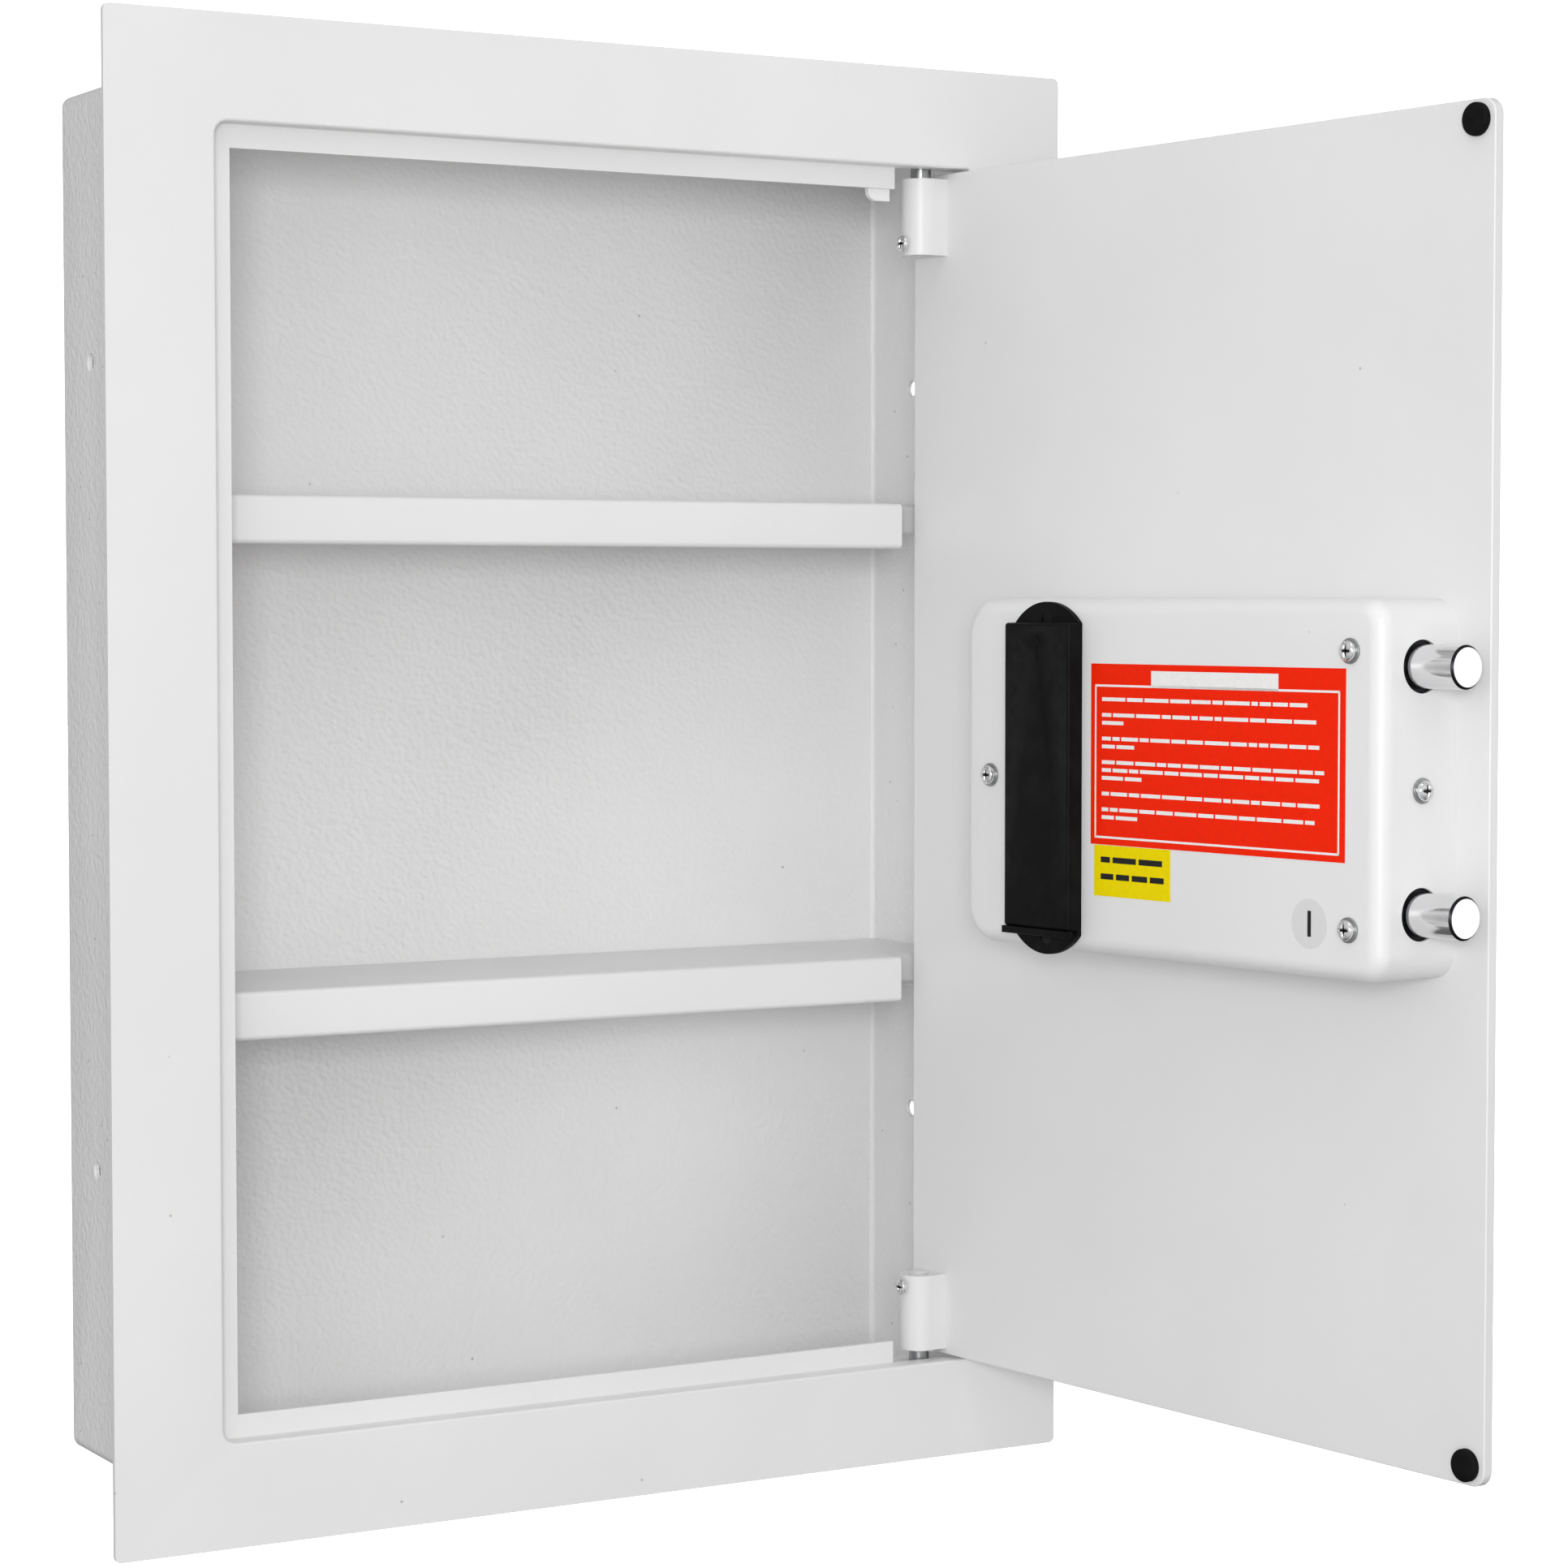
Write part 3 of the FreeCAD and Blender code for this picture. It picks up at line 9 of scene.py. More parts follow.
import bmesh
import bpy
import numpy as np
from bpy.props import BoolProperty, FloatProperty, FloatVectorProperty, IntProperty, PointerProperty
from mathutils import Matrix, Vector

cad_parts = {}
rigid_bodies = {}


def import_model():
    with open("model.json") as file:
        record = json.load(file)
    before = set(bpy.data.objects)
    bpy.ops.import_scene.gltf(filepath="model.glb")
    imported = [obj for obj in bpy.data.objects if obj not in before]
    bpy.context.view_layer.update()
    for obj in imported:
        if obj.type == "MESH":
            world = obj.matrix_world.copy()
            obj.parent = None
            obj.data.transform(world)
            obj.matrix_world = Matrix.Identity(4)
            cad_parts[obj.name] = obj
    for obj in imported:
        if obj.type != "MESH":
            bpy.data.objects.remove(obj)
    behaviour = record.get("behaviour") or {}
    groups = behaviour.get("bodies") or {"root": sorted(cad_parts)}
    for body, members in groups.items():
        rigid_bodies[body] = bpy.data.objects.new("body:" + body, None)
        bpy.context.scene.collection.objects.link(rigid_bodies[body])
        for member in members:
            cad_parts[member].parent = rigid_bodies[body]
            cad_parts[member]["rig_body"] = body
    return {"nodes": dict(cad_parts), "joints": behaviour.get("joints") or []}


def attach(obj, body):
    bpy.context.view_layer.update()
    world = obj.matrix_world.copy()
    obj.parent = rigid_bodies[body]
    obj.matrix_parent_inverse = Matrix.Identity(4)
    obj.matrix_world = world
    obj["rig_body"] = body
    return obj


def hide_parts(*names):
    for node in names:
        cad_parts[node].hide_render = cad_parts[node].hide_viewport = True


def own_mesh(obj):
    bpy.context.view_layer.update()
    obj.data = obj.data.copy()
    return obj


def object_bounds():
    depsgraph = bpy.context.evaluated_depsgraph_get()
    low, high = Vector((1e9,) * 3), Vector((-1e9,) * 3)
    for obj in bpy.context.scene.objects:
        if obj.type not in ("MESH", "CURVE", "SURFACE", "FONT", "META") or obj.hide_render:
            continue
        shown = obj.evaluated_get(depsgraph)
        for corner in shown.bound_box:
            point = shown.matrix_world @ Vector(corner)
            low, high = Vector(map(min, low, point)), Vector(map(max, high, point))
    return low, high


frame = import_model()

bl_info = {
    "name": "Wall safe finishes",
    "version": (1, 0, 0),
    "blender": (4, 5, 0),
    "location": "View3D > Sidebar > Safe",
    "description": "Builds the finished pieces of a recessed wall safe on its packed frame",
    "category": "Object",
}

CAD_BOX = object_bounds()
JOINTS = {joint["name"]: joint for joint in frame["joints"]}
HINGE = np.array(JOINTS["door_hinge"]["pos_m"], float)
TO_HINGE = np.array(JOINTS["bolt_slide"]["axis"], float)
INWARD = np.array(JOINTS["key_turn"]["axis"], float)
UP = np.array([0.0, 0.0, 1.0])
DOOR_AXES = np.array([TO_HINGE, INWARD, UP])
HINGE_LINE = 0
INWARD_LINE = 1
MM = 0.001
FULL_HEAD_RADIUS = 3.5 * MM
HEAD_SHARE = 0.72
FINE_BUMP = 0.01 * MM


# ------------------------------------------------------------------- places on the door
def on_door(points):
    """Points given as (towards hinge, inward, up) from the hinge line, put where the open door holds them."""
    return HINGE + np.asarray(points, float) @ DOOR_AXES


def off_door(points):
    """The reverse of on_door: points in the part's frame, as (towards hinge, inward, up)."""
    return (np.asarray(points, float) - HINGE) @ DOOR_AXES.T


def node_points(node):
    """All corners of a CAD node."""
    mesh = frame["nodes"][node].data
    points = np.empty(len(mesh.vertices) * 3)
    mesh.vertices.foreach_get("co", points)
    return points.reshape(-1, 3)


def door_box(node):
    """Lowest and highest corner of a CAD node in the door's own directions."""
    points = off_door(node_points(node))
    return points.min(0), points.max(0)


def solids_of(node):
    """Corner points of each separate solid in a CAD node."""
    work = bmesh.new()
    work.from_mesh(frame["nodes"][node].data)
    bmesh.ops.remove_doubles(work, verts=work.verts, dist=1e-6)
    left = set(work.verts)
    solids = []
    while left:
        front = [left.pop()]
        solid = []
        while front:
            vertex = front.pop()
            solid.append(vertex.co[:])
            for edge in vertex.link_edges:
                other = edge.other_vert(vertex)
                if other in left:
                    left.remove(other)
                    front.append(other)
        solids.append(np.array(solid))
    work.free()
    return sorted(solids, key=lambda points: tuple(np.round(points.mean(0), 5)))


# ---------------------------------------------------------------------- mesh making
def grid_faces(rows, columns, wrap=True):
    """Quads between the rows of a grid of points; wrap joins the last column to the first."""
    row, column = np.meshgrid(np.arange(rows - 1), np.arange(columns if wrap else columns - 1), indexing="ij")
    after = (column + 1) % columns
    first = row * columns
    return np.stack([first + column, first + after, first + columns + after, first + columns + column],
                    -1).reshape(-1, 4)


def arc(centre, radius, start, end, steps):
    """Points on an arc: the centre plus the radius times the cosine and sine of the angle in degrees."""
    angle = np.radians(np.linspace(start, end, steps))
    return np.stack([centre[0] + radius * np.cos(angle), centre[1] + radius * np.sin(angle)], -1)


def turned(profile, base, axis, segments=72):
    """Profile of (radius, height) pairs turned about an axis.

    A point is the base, plus the height along the axis, plus the radius towards the turn angle's direction.
    """
    axis = np.asarray(axis, float) / np.linalg.norm(axis)
    side = np.cross(axis, UP if abs(axis[2]) < 0.9 else TO_HINGE)
    side /= np.linalg.norm(side)
    front = np.cross(axis, side)
    angle = np.linspace(0, 2 * np.pi, segments, endpoint=False)
    ring = np.outer(np.cos(angle), side) + np.outer(np.sin(angle), front)
    profile = np.asarray(profile, float)
    points = np.asarray(base) + profile[:, 1, None, None] * axis + profile[:, 0, None, None] * ring
    return points.reshape(-1, 3), grid_faces(len(profile), segments)


def joined(*shapes):
    """Several (points, faces) pairs as one, each keeping its own corners."""
    points = []
    faces = []
    start = 0
    for shape_points, shape_faces in shapes:
        points.append(shape_points)
        faces.append(np.asarray(shape_faces) + start)
        start += len(shape_points)
    return np.concatenate(points), np.concatenate(faces)


def slab(low, high):
    """Closed block between two corners, given and returned in the door's directions."""
    pick = np.array([[x, y, z] for z in (0, 1) for y in (0, 1) for x in (0, 1)])
    points = np.where(pick, high, low)
    faces = np.array([[0, 2, 3, 1], [4, 5, 7, 6], [0, 1, 5, 4], [2, 6, 7, 3], [0, 4, 6, 2], [1, 3, 7, 5]])
    return points, faces


def make_piece(name, shape, material, body="door", sharp=35.0):
    """Object with its place in its mesh, faces outwards, smooth except along sharp edges."""
    points, faces = shape
    mesh = bpy.data.meshes.new(name)
    mesh.from_pydata(np.asarray(points).tolist(), [], np.asarray(faces).tolist())
    work = bmesh.new()
    work.from_mesh(mesh)
    bmesh.ops.remove_doubles(work, verts=work.verts, dist=1e-7)
    bmesh.ops.dissolve_degenerate(work, edges=work.edges, dist=1e-8)
    bmesh.ops.recalc_face_normals(work, faces=work.faces)
    work.to_mesh(mesh)
    work.free()
    return finish_piece(name, mesh, material, body, sharp)


def finish_piece(name, mesh, material, body, sharp):
    """Shades a mesh, gives it its material and hangs it on its body."""
    mesh.shade_smooth()
    mesh.set_sharp_from_angle(angle=math.radians(sharp))
    mesh.materials.clear()
    mesh.materials.append(material)
    piece = bpy.data.objects.new(name, mesh)
    bpy.context.scene.collection.objects.link(piece)
    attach(piece, body)
    return piece


def rolled_copy(node, material, width):
    """A CAD node's shape with its triangles joined and its sharp edges rolled by a width."""
    source = frame["nodes"][node]
    mesh = source.data.copy()
    mesh.name = node + "_finish"
    work = bmesh.new()
    work.from_mesh(mesh)
    bmesh.ops.remove_doubles(work, verts=work.verts, dist=2e-6)
    bmesh.ops.dissolve_limit(work, angle_limit=math.radians(0.4), verts=work.verts, edges=work.edges)
    work.to_mesh(mesh)
    work.free()
    piece = finish_piece(node + "_finish", mesh, material, source["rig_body"], 28.0)
    if width > 0:
        bevel = piece.modifiers.new("rolled edge", "BEVEL")
        bevel.width = width
        bevel.segments = 2
        bevel.limit_method = "ANGLE"
        bevel.angle_limit = math.radians(40)
        bevel.harden_normals = False
        bevel.use_clamp_overlap = True
    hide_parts(node)
    return piece


def dress(node, material):
    """Gives a CAD node its material without touching its mesh."""
    source = frame["nodes"][node]
    if not source.material_slots:
        source.data.materials.append(None)
    for place in source.material_slots:
        place.link = "OBJECT"
        place.material = material


# -------------------------------------------------------------------- material nodes
def blank_material(name):
    """A new node material with its shader and the object's own coordinates."""
    material = bpy.data.materials.new(name)
    material.use_nodes = True
    tree = material.node_tree
    shader = tree.nodes["Principled BSDF"]
    place = tree.nodes.new("ShaderNodeTexCoord").outputs["Object"]
    return material, tree, shader, place


def noise(tree, place, scale, detail=2.0, roughness=0.5, stretch=None):
    """Noise on a set of coordinates; stretch scales it differently along each axis."""
    if stretch is not None:
        mapping = tree.nodes.new("ShaderNodeMapping")
        mapping.inputs["Scale"].default_value = stretch
        tree.links.new(place, mapping.inputs["Vector"])
        place = mapping.outputs["Vector"]
    node = tree.nodes.new("ShaderNodeTexNoise")
    node.inputs["Scale"].default_value = scale
    node.inputs["Detail"].default_value = detail
    node.inputs["Roughness"].default_value = roughness
    tree.links.new(place, node.inputs["Vector"])
    return node.outputs["Fac"]


def spread(tree, value, low, high, out_low, out_high):
    """Maps one range of a value onto another, held at its ends."""
    node = tree.nodes.new("ShaderNodeMapRange")
    for name, number in (("From Min", low), ("From Max", high), ("To Min", out_low), ("To Max", out_high)):
        node.inputs[name].default_value = number
    tree.links.new(value, node.inputs["Value"])
    return node.outputs["Result"]


def blend_colours(tree, share, first, second):
    """Colour between two colours, by a share; either may be the output of another step."""
    node = tree.nodes.new("ShaderNodeMix")
    node.data_type = "RGBA"
    tree.links.new(share, node.inputs["Factor"])
    sockets = [socket for socket in node.inputs if socket.type == "RGBA"]
    for socket, colour in zip(sockets, (first, second)):
        if isinstance(colour, bpy.types.NodeSocket):
            tree.links.new(colour, socket)
        else:
            socket.default_value = (*colour[:3], 1.0)
    return next(socket for socket in node.outputs if socket.type == "RGBA")


def tint(tree, shader, share, first, second):
    """Sets the shader's colour between two colours, by a share."""
    tree.links.new(blend_colours(tree, share, first, second), shader.inputs["Base Color"])


def set_gloss(tree, shader, value, low, high, smooth, rough):
    """Sets the shader's roughness from a value's range."""
    tree.links.new(spread(tree, value, low, high, smooth, rough), shader.inputs["Roughness"])


def combine(tree, first, second, how="ADD"):
    """Two values joined by a maths step; the second may be a plain number."""
    node = tree.nodes.new("ShaderNodeMath")
    node.operation = how
    tree.links.new(first, node.inputs[0])
    if isinstance(second, bpy.types.NodeSocket):
        tree.links.new(second, node.inputs[1])
    else:
        node.inputs[1].default_value = second
    return node.outputs["Value"]


def raise_bump(tree, shader, height, depth):
    """Bump from a height, with its depth in metres, set on the shader's normal."""
    node = tree.nodes.new("ShaderNodeBump")
    node.inputs["Strength"].default_value = 1.0
    node.inputs["Distance"].default_value = depth
    tree.links.new(height, node.inputs["Height"])
    tree.links.new(node.outputs["Normal"], shader.inputs["Normal"])


def powder_coat(name, colour, peel, depth, specks):
    """Baked powder coat: orange-peel bumps of two sizes, faint clouding and a few dark specks."""
    material, tree, shader, place = blank_material(name)
    shader.inputs["IOR"].default_value = 1.5
    shader.inputs["Specular IOR Level"].default_value = 0.45
    clouds = spread(tree, noise(tree, place, 9.0, 3.0), 0.3, 0.7, 0.0, 1.0)
    darker = [channel * 0.955 for channel in colour[:3]]
    tone = blend_colours(tree, clouds, darker, colour)
    cells = tree.nodes.new("ShaderNodeTexVoronoi")
    cells.inputs["Scale"].default_value = 90.0
    tree.links.new(place, cells.inputs["Vector"])
    near = spread(tree, cells.outputs["Distance"], 0.030, 0.060, 1.0, 0.0)
    chosen = tree.nodes.new("ShaderNodeSeparateColor")
    tree.links.new(cells.outputs["Color"], chosen.inputs["Color"])
    few = combine(tree, chosen.outputs["Red"], 1.0 - specks, "GREATER_THAN")
    spots = combine(tree, near, few, "MULTIPLY")
    faded = combine(tree, spots, 0.55, "MULTIPLY")
    tint(tree, shader, faded, tone, (0.12, 0.12, 0.12))
    set_gloss(tree, shader, noise(tree, place, 30.0, 1.0), 0.1, 0.9, 0.30, 0.38)
    coarse = noise(tree, place, 1.0 / peel, 0.6, 0.35)
    fine = combine(tree, noise(tree, place, 2.6 / peel, 0.5), 0.10, "MULTIPLY")
    raise_bump(tree, shader, combine(tree, coarse, fine), depth)
    return material


def plated(name, colour, rough, streak, along, clouding=0.06):
    """Plated or drawn metal: fine marks stretched along one direction and a cloudy tone."""
    material, tree, shader, place = blank_material(name)
    shader.inputs["Metallic"].default_value = 1.0
    marks = noise(tree, place, 1.0, 4.0, 0.6, stretch=along)
    set_gloss(tree, shader, marks, 0.25, 0.75, rough * 0.7, rough * 1.35)
    clouds = spread(tree, noise(tree, place, 120.0, 3.0), 0.3, 0.7, 0.0, 1.0)
    duller = [channel * (1.0 - 2 * clouding) for channel in colour[:3]]
    tint(tree, shader, clouds, duller, colour)
    raise_bump(tree, shader, marks, streak)
    return material


def moulded(name, colour, rough, grain, depth):
    """Moulded plastic: spark-eroded grain, small differences of gloss and a touch of dust tone."""
    material, tree, shader, place = blank_material(name)
    shader.inputs["Specular IOR Level"].default_value = 0.06
    dust = spread(tree, noise(tree, place, 55.0, 4.0, 0.65), 0.45, 0.8, 0.0, 1.0)
    lighter = [min(1.0, channel * 1.12 + 0.006) for channel in colour[:3]]
    tint(tree, shader, dust, colour, lighter)
    set_gloss(tree, shader, noise(tree, place, 240.0), 0.3, 0.7, rough * 0.88, rough * 1.12)
    raise_bump(tree, shader, noise(tree, place, 1.0 / grain, 3.0, 0.6), depth)
    return material


def rubber(name, colour):
    """Dull moulded rubber with a bloomed, slightly uneven surface."""
    material, tree, shader, place = blank_material(name)
    shader.inputs["Specular IOR Level"].default_value = 0.08
    bloom = spread(tree, noise(tree, place, 300.0, 4.0), 0.35, 0.75, 0.0, 1.0)
    lighter = [channel + 0.005 for channel in colour[:3]]
    tint(tree, shader, bloom, colour, lighter)
    set_gloss(tree, shader, bloom, 0.0, 1.0, 0.62, 0.8)
    raise_bump(tree, shader, noise(tree, place, 2600.0, 2.0), 0.03 * MM)
    return material


def printed_film(name, colour, gloss):
    """Printed label film: even ink with a faint mottle and slight waviness."""
    material, tree, shader, place = blank_material(name)
    shader.inputs["Specular IOR Level"].default_value = 0.06
    mottle = spread(tree, noise(tree, place, 420.0, 3.0), 0.3, 0.7, 0.0, 1.0)
    deeper = [channel * 0.94 for channel in colour[:3]]
    tint(tree, shader, mottle, deeper, colour)
    set_gloss(tree, shader, noise(tree, place, 90.0), 0.3, 0.7, gloss * 0.9, gloss * 1.15)
    raise_bump(tree, shader, noise(tree, place, 150.0, 1.0), 0.02 * MM)
    return material


def clear_film(name, colour):
    """Thin clear film that only shows as a faint change of gloss and tone."""
    material, tree, shader, place = blank_material(name)
    mottle = spread(tree, noise(tree, place, 500.0, 2.0), 0.3, 0.7, 0.0, 1.0)
    cooler = [channel * 0.97 for channel in colour[:3]]
    tint(tree, shader, mottle, cooler, colour)
    set_gloss(tree, shader, mottle, 0.0, 1.0, 0.10, 0.16)
    return material


def circuit_green(name):
    """Solder-masked board: green with paler tracks on a square grid of cells."""
    material, tree, shader, place = blank_material(name)
    tracks = tree.nodes.new("ShaderNodeTexVoronoi")
    tracks.distance = "MANHATTAN"
    tracks.feature = "F1"
    tracks.inputs["Scale"].default_value = 210.0
    tracks.inputs["Randomness"].default_value = 0.6
    tree.links.new(place, tracks.inputs["Vector"])
    lines = spread(tree, tracks.outputs["Distance"], 0.52, 0.60, 0.0, 1.0)
    tint(tree, shader, lines, (0.008, 0.075, 0.028), (0.03, 0.17, 0.07))
    set_gloss(tree, shader, noise(tree, place, 300.0), 0.3, 0.7, 0.25, 0.36)
    raise_bump(tree, shader, lines, 0.03 * MM)
    return material


def cell_wrap(name, low, high):
    """Printed sleeve of the round cells: a dark barrel with a copper-coloured band at one end."""
    material, tree, shader, place = blank_material(name)
    height = tree.nodes.new("ShaderNodeSeparateXYZ")
    tree.links.new(place, height.inputs["Vector"])
    length = (high - low) / 2
    from_low = combine(tree, height.outputs["Z"], low, "SUBTRACT")
    in_cell = combine(tree, from_low, length + 0.6 * MM, "MODULO")
    band = spread(tree, in_cell, length * 0.70, length * 0.71, 0.0, 1.0)
    tint(tree, shader, band, (0.012, 0.013, 0.016), (0.50, 0.22, 0.08))
    set_gloss(tree, shader, noise(tree, place, 200.0), 0.3, 0.7, 0.22, 0.32)
    raise_bump(tree, shader, noise(tree, place, 700.0), 0.02 * MM)
    return material


def smoked_glass(name):
    """Dark polished window with a faint ripple."""
    material, tree, shader, place = blank_material(name)
    clouds = spread(tree, noise(tree, place, 60.0), 0.3, 0.7, 0.0, 1.0)
    tint(tree, shader, clouds, (0.010, 0.012, 0.016), (0.020, 0.024, 0.032))
    set_gloss(tree, shader, noise(tree, place, 350.0, 3.0), 0.4, 0.8, 0.04, 0.12)
    shader.inputs["Coat Weight"].default_value = 0.6
    raise_bump(tree, shader, noise(tree, place, 80.0), FINE_BUMP)
    return material


# ----------------------------------------------------------------------- settings
class SafeCoatSettings(bpy.types.PropertyGroup):
    """Powder coat of the sheet steel."""
    outside: FloatVectorProperty(name="Outside coat", description="Colour of the flange, shelves and door",
                                 subtype="COLOR", size=3, min=0.0, max=1.0, default=(0.79, 0.79, 0.79))
    # The inside coat is the same white paint as the outside coat in a lighter tone: painted light for the
    # housing's shaded inside.
    inside: FloatVectorProperty(name="Inside coat", description="Colour of the housing and its brackets",
                                subtype="COLOR", size=3, min=0.0, max=1.0, default=(0.84, 0.84, 0.84))
    peel: FloatProperty(name="Peel size", description="Width of one orange-peel bump", subtype="DISTANCE",
                        unit="LENGTH", min=0.0005, max=0.01, precision=4, default=0.0022)
    depth: FloatProperty(name="Peel depth", description="Depth of the orange-peel bumps", subtype="DISTANCE",
                         unit="LENGTH", min=0.0, max=0.001, precision=5, default=0.00034)
    specks: FloatProperty(name="Specks", description="Share of places that have a dark speck",
                          subtype="FACTOR", min=0.0, max=1.0, default=0.16)
    edge: FloatProperty(name="Rolled edge", description="Rounding of the sheet's cut edges",
                        subtype="DISTANCE", unit="LENGTH", min=0.0, max=0.002, precision=5, default=0.0004)


class SafeMetalSettings(bpy.types.PropertyGroup):
    """Bolts, screws and washers."""
    bright: FloatVectorProperty(name="Bright plate", description="Colour of the bolts and screws",
                                subtype="COLOR", size=3, min=0.0, max=1.0, default=(0.80, 0.80, 0.81))
    zinc: FloatVectorProperty(name="Zinc plate", description="Colour of pins, brackets and washers",
                              subtype="COLOR", size=3, min=0.0, max=1.0, default=(0.38, 0.385, 0.39))
    chamfer: FloatProperty(name="Bolt chamfer", description="Chamfer on the nose of a bolt",
                           subtype="DISTANCE", unit="LENGTH", min=0.0, max=0.002, precision=4, default=0.0008)
    recess: FloatProperty(name="Recess depth", description="Depth of the cross recess in a screw's head",
                          subtype="DISTANCE", unit="LENGTH", min=0.0, max=0.003, precision=4, default=0.0013)


class SafeSpringSettings(bpy.types.PropertyGroup):
    """Coil spring that throws the bolts."""
    turns: IntProperty(name="Turns", description="Turns of wire in the spring", min=4, max=40, default=15)
    wire: FloatProperty(name="Wire", description="Diameter of the spring's wire", subtype="DISTANCE",
                        unit="LENGTH", min=0.0002, max=0.002, precision=4, default=0.0008)


class SafeLabelSettings(bpy.types.PropertyGroup):
    """Plain stickers on the lock cover."""
    notice: FloatVectorProperty(name="Notice", description="Colour of the large sticker", subtype="COLOR",
                                size=3, min=0.0, max=1.0, default=(0.90, 0.020, 0.002))
    rating: FloatVectorProperty(name="Rating", description="Colour of the small sticker", subtype="COLOR",
                                size=3, min=0.0, max=1.0, default=(0.85, 0.68, 0.0))
    ruled: BoolProperty(name="Ruled lines", description="Plain bars where a sticker would have its lines",
                        default=True)


class SafeStageSettings(bpy.types.PropertyGroup):
    """Camera, light and floor."""
    lens: FloatProperty(name="Lens", description="Focal length on a 36 mm sensor", subtype="DISTANCE_CAMERA",
                        min=20.0, max=200.0, default=88.37)
    door: FloatProperty(name="Door light", description="Power of the narrow light on the door in watts",
                        min=0.0, max=500.0, default=0.10)
    fill: FloatProperty(name="Fill light", description="Power of the light beside the camera in watts",
                        min=0.0, max=500.0, default=10.6)
    right: FloatProperty(name="Right light", description="Power of the broad light on the right in watts",
                         min=0.0, max=500.0, default=1.2)
    bolts: FloatProperty(name="Bolt light", description="Power of the light that shines off the bolts' ends",
                         min=0.0, max=500.0, default=1.1)
    top: FloatProperty(name="Top light", description="Power of the light from above in watts", min=0.0,
                       max=500.0, default=2.6)
    world: FloatProperty(name="Surround", description="Brightness of the surrounding light", min=0.0,
                         max=3.0, default=0.575)


SETTINGS = {
    "safe_coat": SafeCoatSettings,
    "safe_metal": SafeMetalSettings,
    "safe_spring": SafeSpringSettings,
    "safe_labels": SafeLabelSettings,
    "safe_stage": SafeStageSettings,
}


def shared(name, make, *values):
    """A material made once and used by several operators."""
    return bpy.data.materials.get(name) or make(name, *values)


def outside_coat(scene):
    """Smoother coat of the face frame, the shelves, the door and the lock cover."""
    coat = scene.safe_coat
    return shared("outside_coat", powder_coat, coat.outside, coat.peel, coat.depth * 0.15, coat.specks * 0.5)


def inside_coat(scene):
    """Coat of the housing and its brackets, with the stronger orange peel; a lighter copy of the same white
    paint, as painted light on the shaded inside.
    """
    coat = scene.safe_coat
    return shared("inside_coat", powder_coat, coat.inside, coat.peel, coat.depth, coat.specks)


def bright_plate(scene):
    """Bright nickel plate of bolts and screws."""
    colour = scene.safe_metal.bright
    return shared("bright_plate", plated, colour, 0.12, 0.004 * MM, (300, 300, 300), 0.02)


def zinc_plate(scene):
    """Clear zinc plate."""
    colour = scene.safe_metal.zinc
    return shared("zinc_plate", plated, colour, 0.30, FINE_BUMP, (900, 900, 90))


def black_oxide():
    """Blackened steel, also used as painted shade: the bars in the screw recesses, the rings on the bolts'
    chamfers, and the bolt guide and tray screws where their gaps and recesses look dark.
    """
    return shared("black_oxide", plated, (0.020, 0.020, 0.022), 0.35, FINE_BUMP, (400, 400, 400))


def black_moulding():
    """Black moulded plastic with a fine grain."""
    return shared("black_moulding", moulded, (0.0045, 0.0045, 0.005), 0.46, 0.6 * MM, 0.03 * MM)


# ----------------------------------------------------------------------- operators
class SAFE_OT_housing(bpy.types.Operator):
    """Coats the housing, its face frame, its shelves and their supports"""
    bl_idname = "safe.housing"
    bl_label = "Housing"

    def execute(self, context):
        coat = context.scene.safe_coat
        rolled_copy("face_frame", outside_coat(context.scene), coat.edge)
        for node in ("shelf_upper", "shelf_lower"):
            rolled_copy(node, outside_coat(context.scene), coat.edge)
        # The housing and its brackets take the lighter copy of the white paint, painted light on their shaded
        # faces.
        for node in ("body_shell", "shelf_tabs", "hinge_bracket_top", "hinge_bracket_bottom"):
            rolled_copy(node, inside_coat(context.scene), coat.edge)
        return {"FINISHED"}


class SAFE_OT_door(bpy.types.Operator):
    """Coats the door, its hinge knuckles and the lock cover"""
    bl_idname = "safe.door"
    bl_label = "Door and lock cover"

    def execute(self, context):
        coat = context.scene.safe_coat
        rolled_copy("door_plate", outside_coat(context.scene), coat.edge)
        rolled_copy("lock_cover", outside_coat(context.scene), 0.0)
        for node in ("hinge_knuckle_top", "hinge_knuckle_bottom"):
            rolled_copy(node, outside_coat(context.scene), coat.edge)
        return {"FINISHED"}


def hinge_pin(node, material):
    """Pin turned from (radius, height) pairs, with a chamfer and a shallow groove near each end."""
    points = node_points(node)
    low = points.min(0)
    high = points.max(0)
    radius = (high[0] - low[0]) / 2
    length = high[2] - low[2]
    chamfer = radius * 0.15
    groove = radius * 0.06
    profile = [(0, 0), (radius - chamfer, 0), (radius, chamfer)]
    for share in (0.12, 0.88):
        middle = length * share
        profile += [(radius, middle - 0.6 * MM), (radius - groove, middle - 0.3 * MM),
                    (radius - groove, middle + 0.3 * MM), (radius, middle + 0.6 * MM)]
    profile += [(radius, length - chamfer), (radius - chamfer, length), (0, length)]
    base = ((low[0] + high[0]) / 2, (low[1] + high[1]) / 2, low[2])
    piece = make_piece(node + "_turned", turned(profile, base, UP), material)
    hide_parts(node)


class SAFE_OT_hinge_pins(bpy.types.Operator):
    """Turns the two hinge pins"""
    bl_idname = "safe.hinge_pins"
    bl_label = "Hinge pins"

    def execute(self, context):
        for node in ("hinge_pin_top", "hinge_pin_bottom"):
            hinge_pin(node, zinc_plate(context.scene))
        return {"FINISHED"}


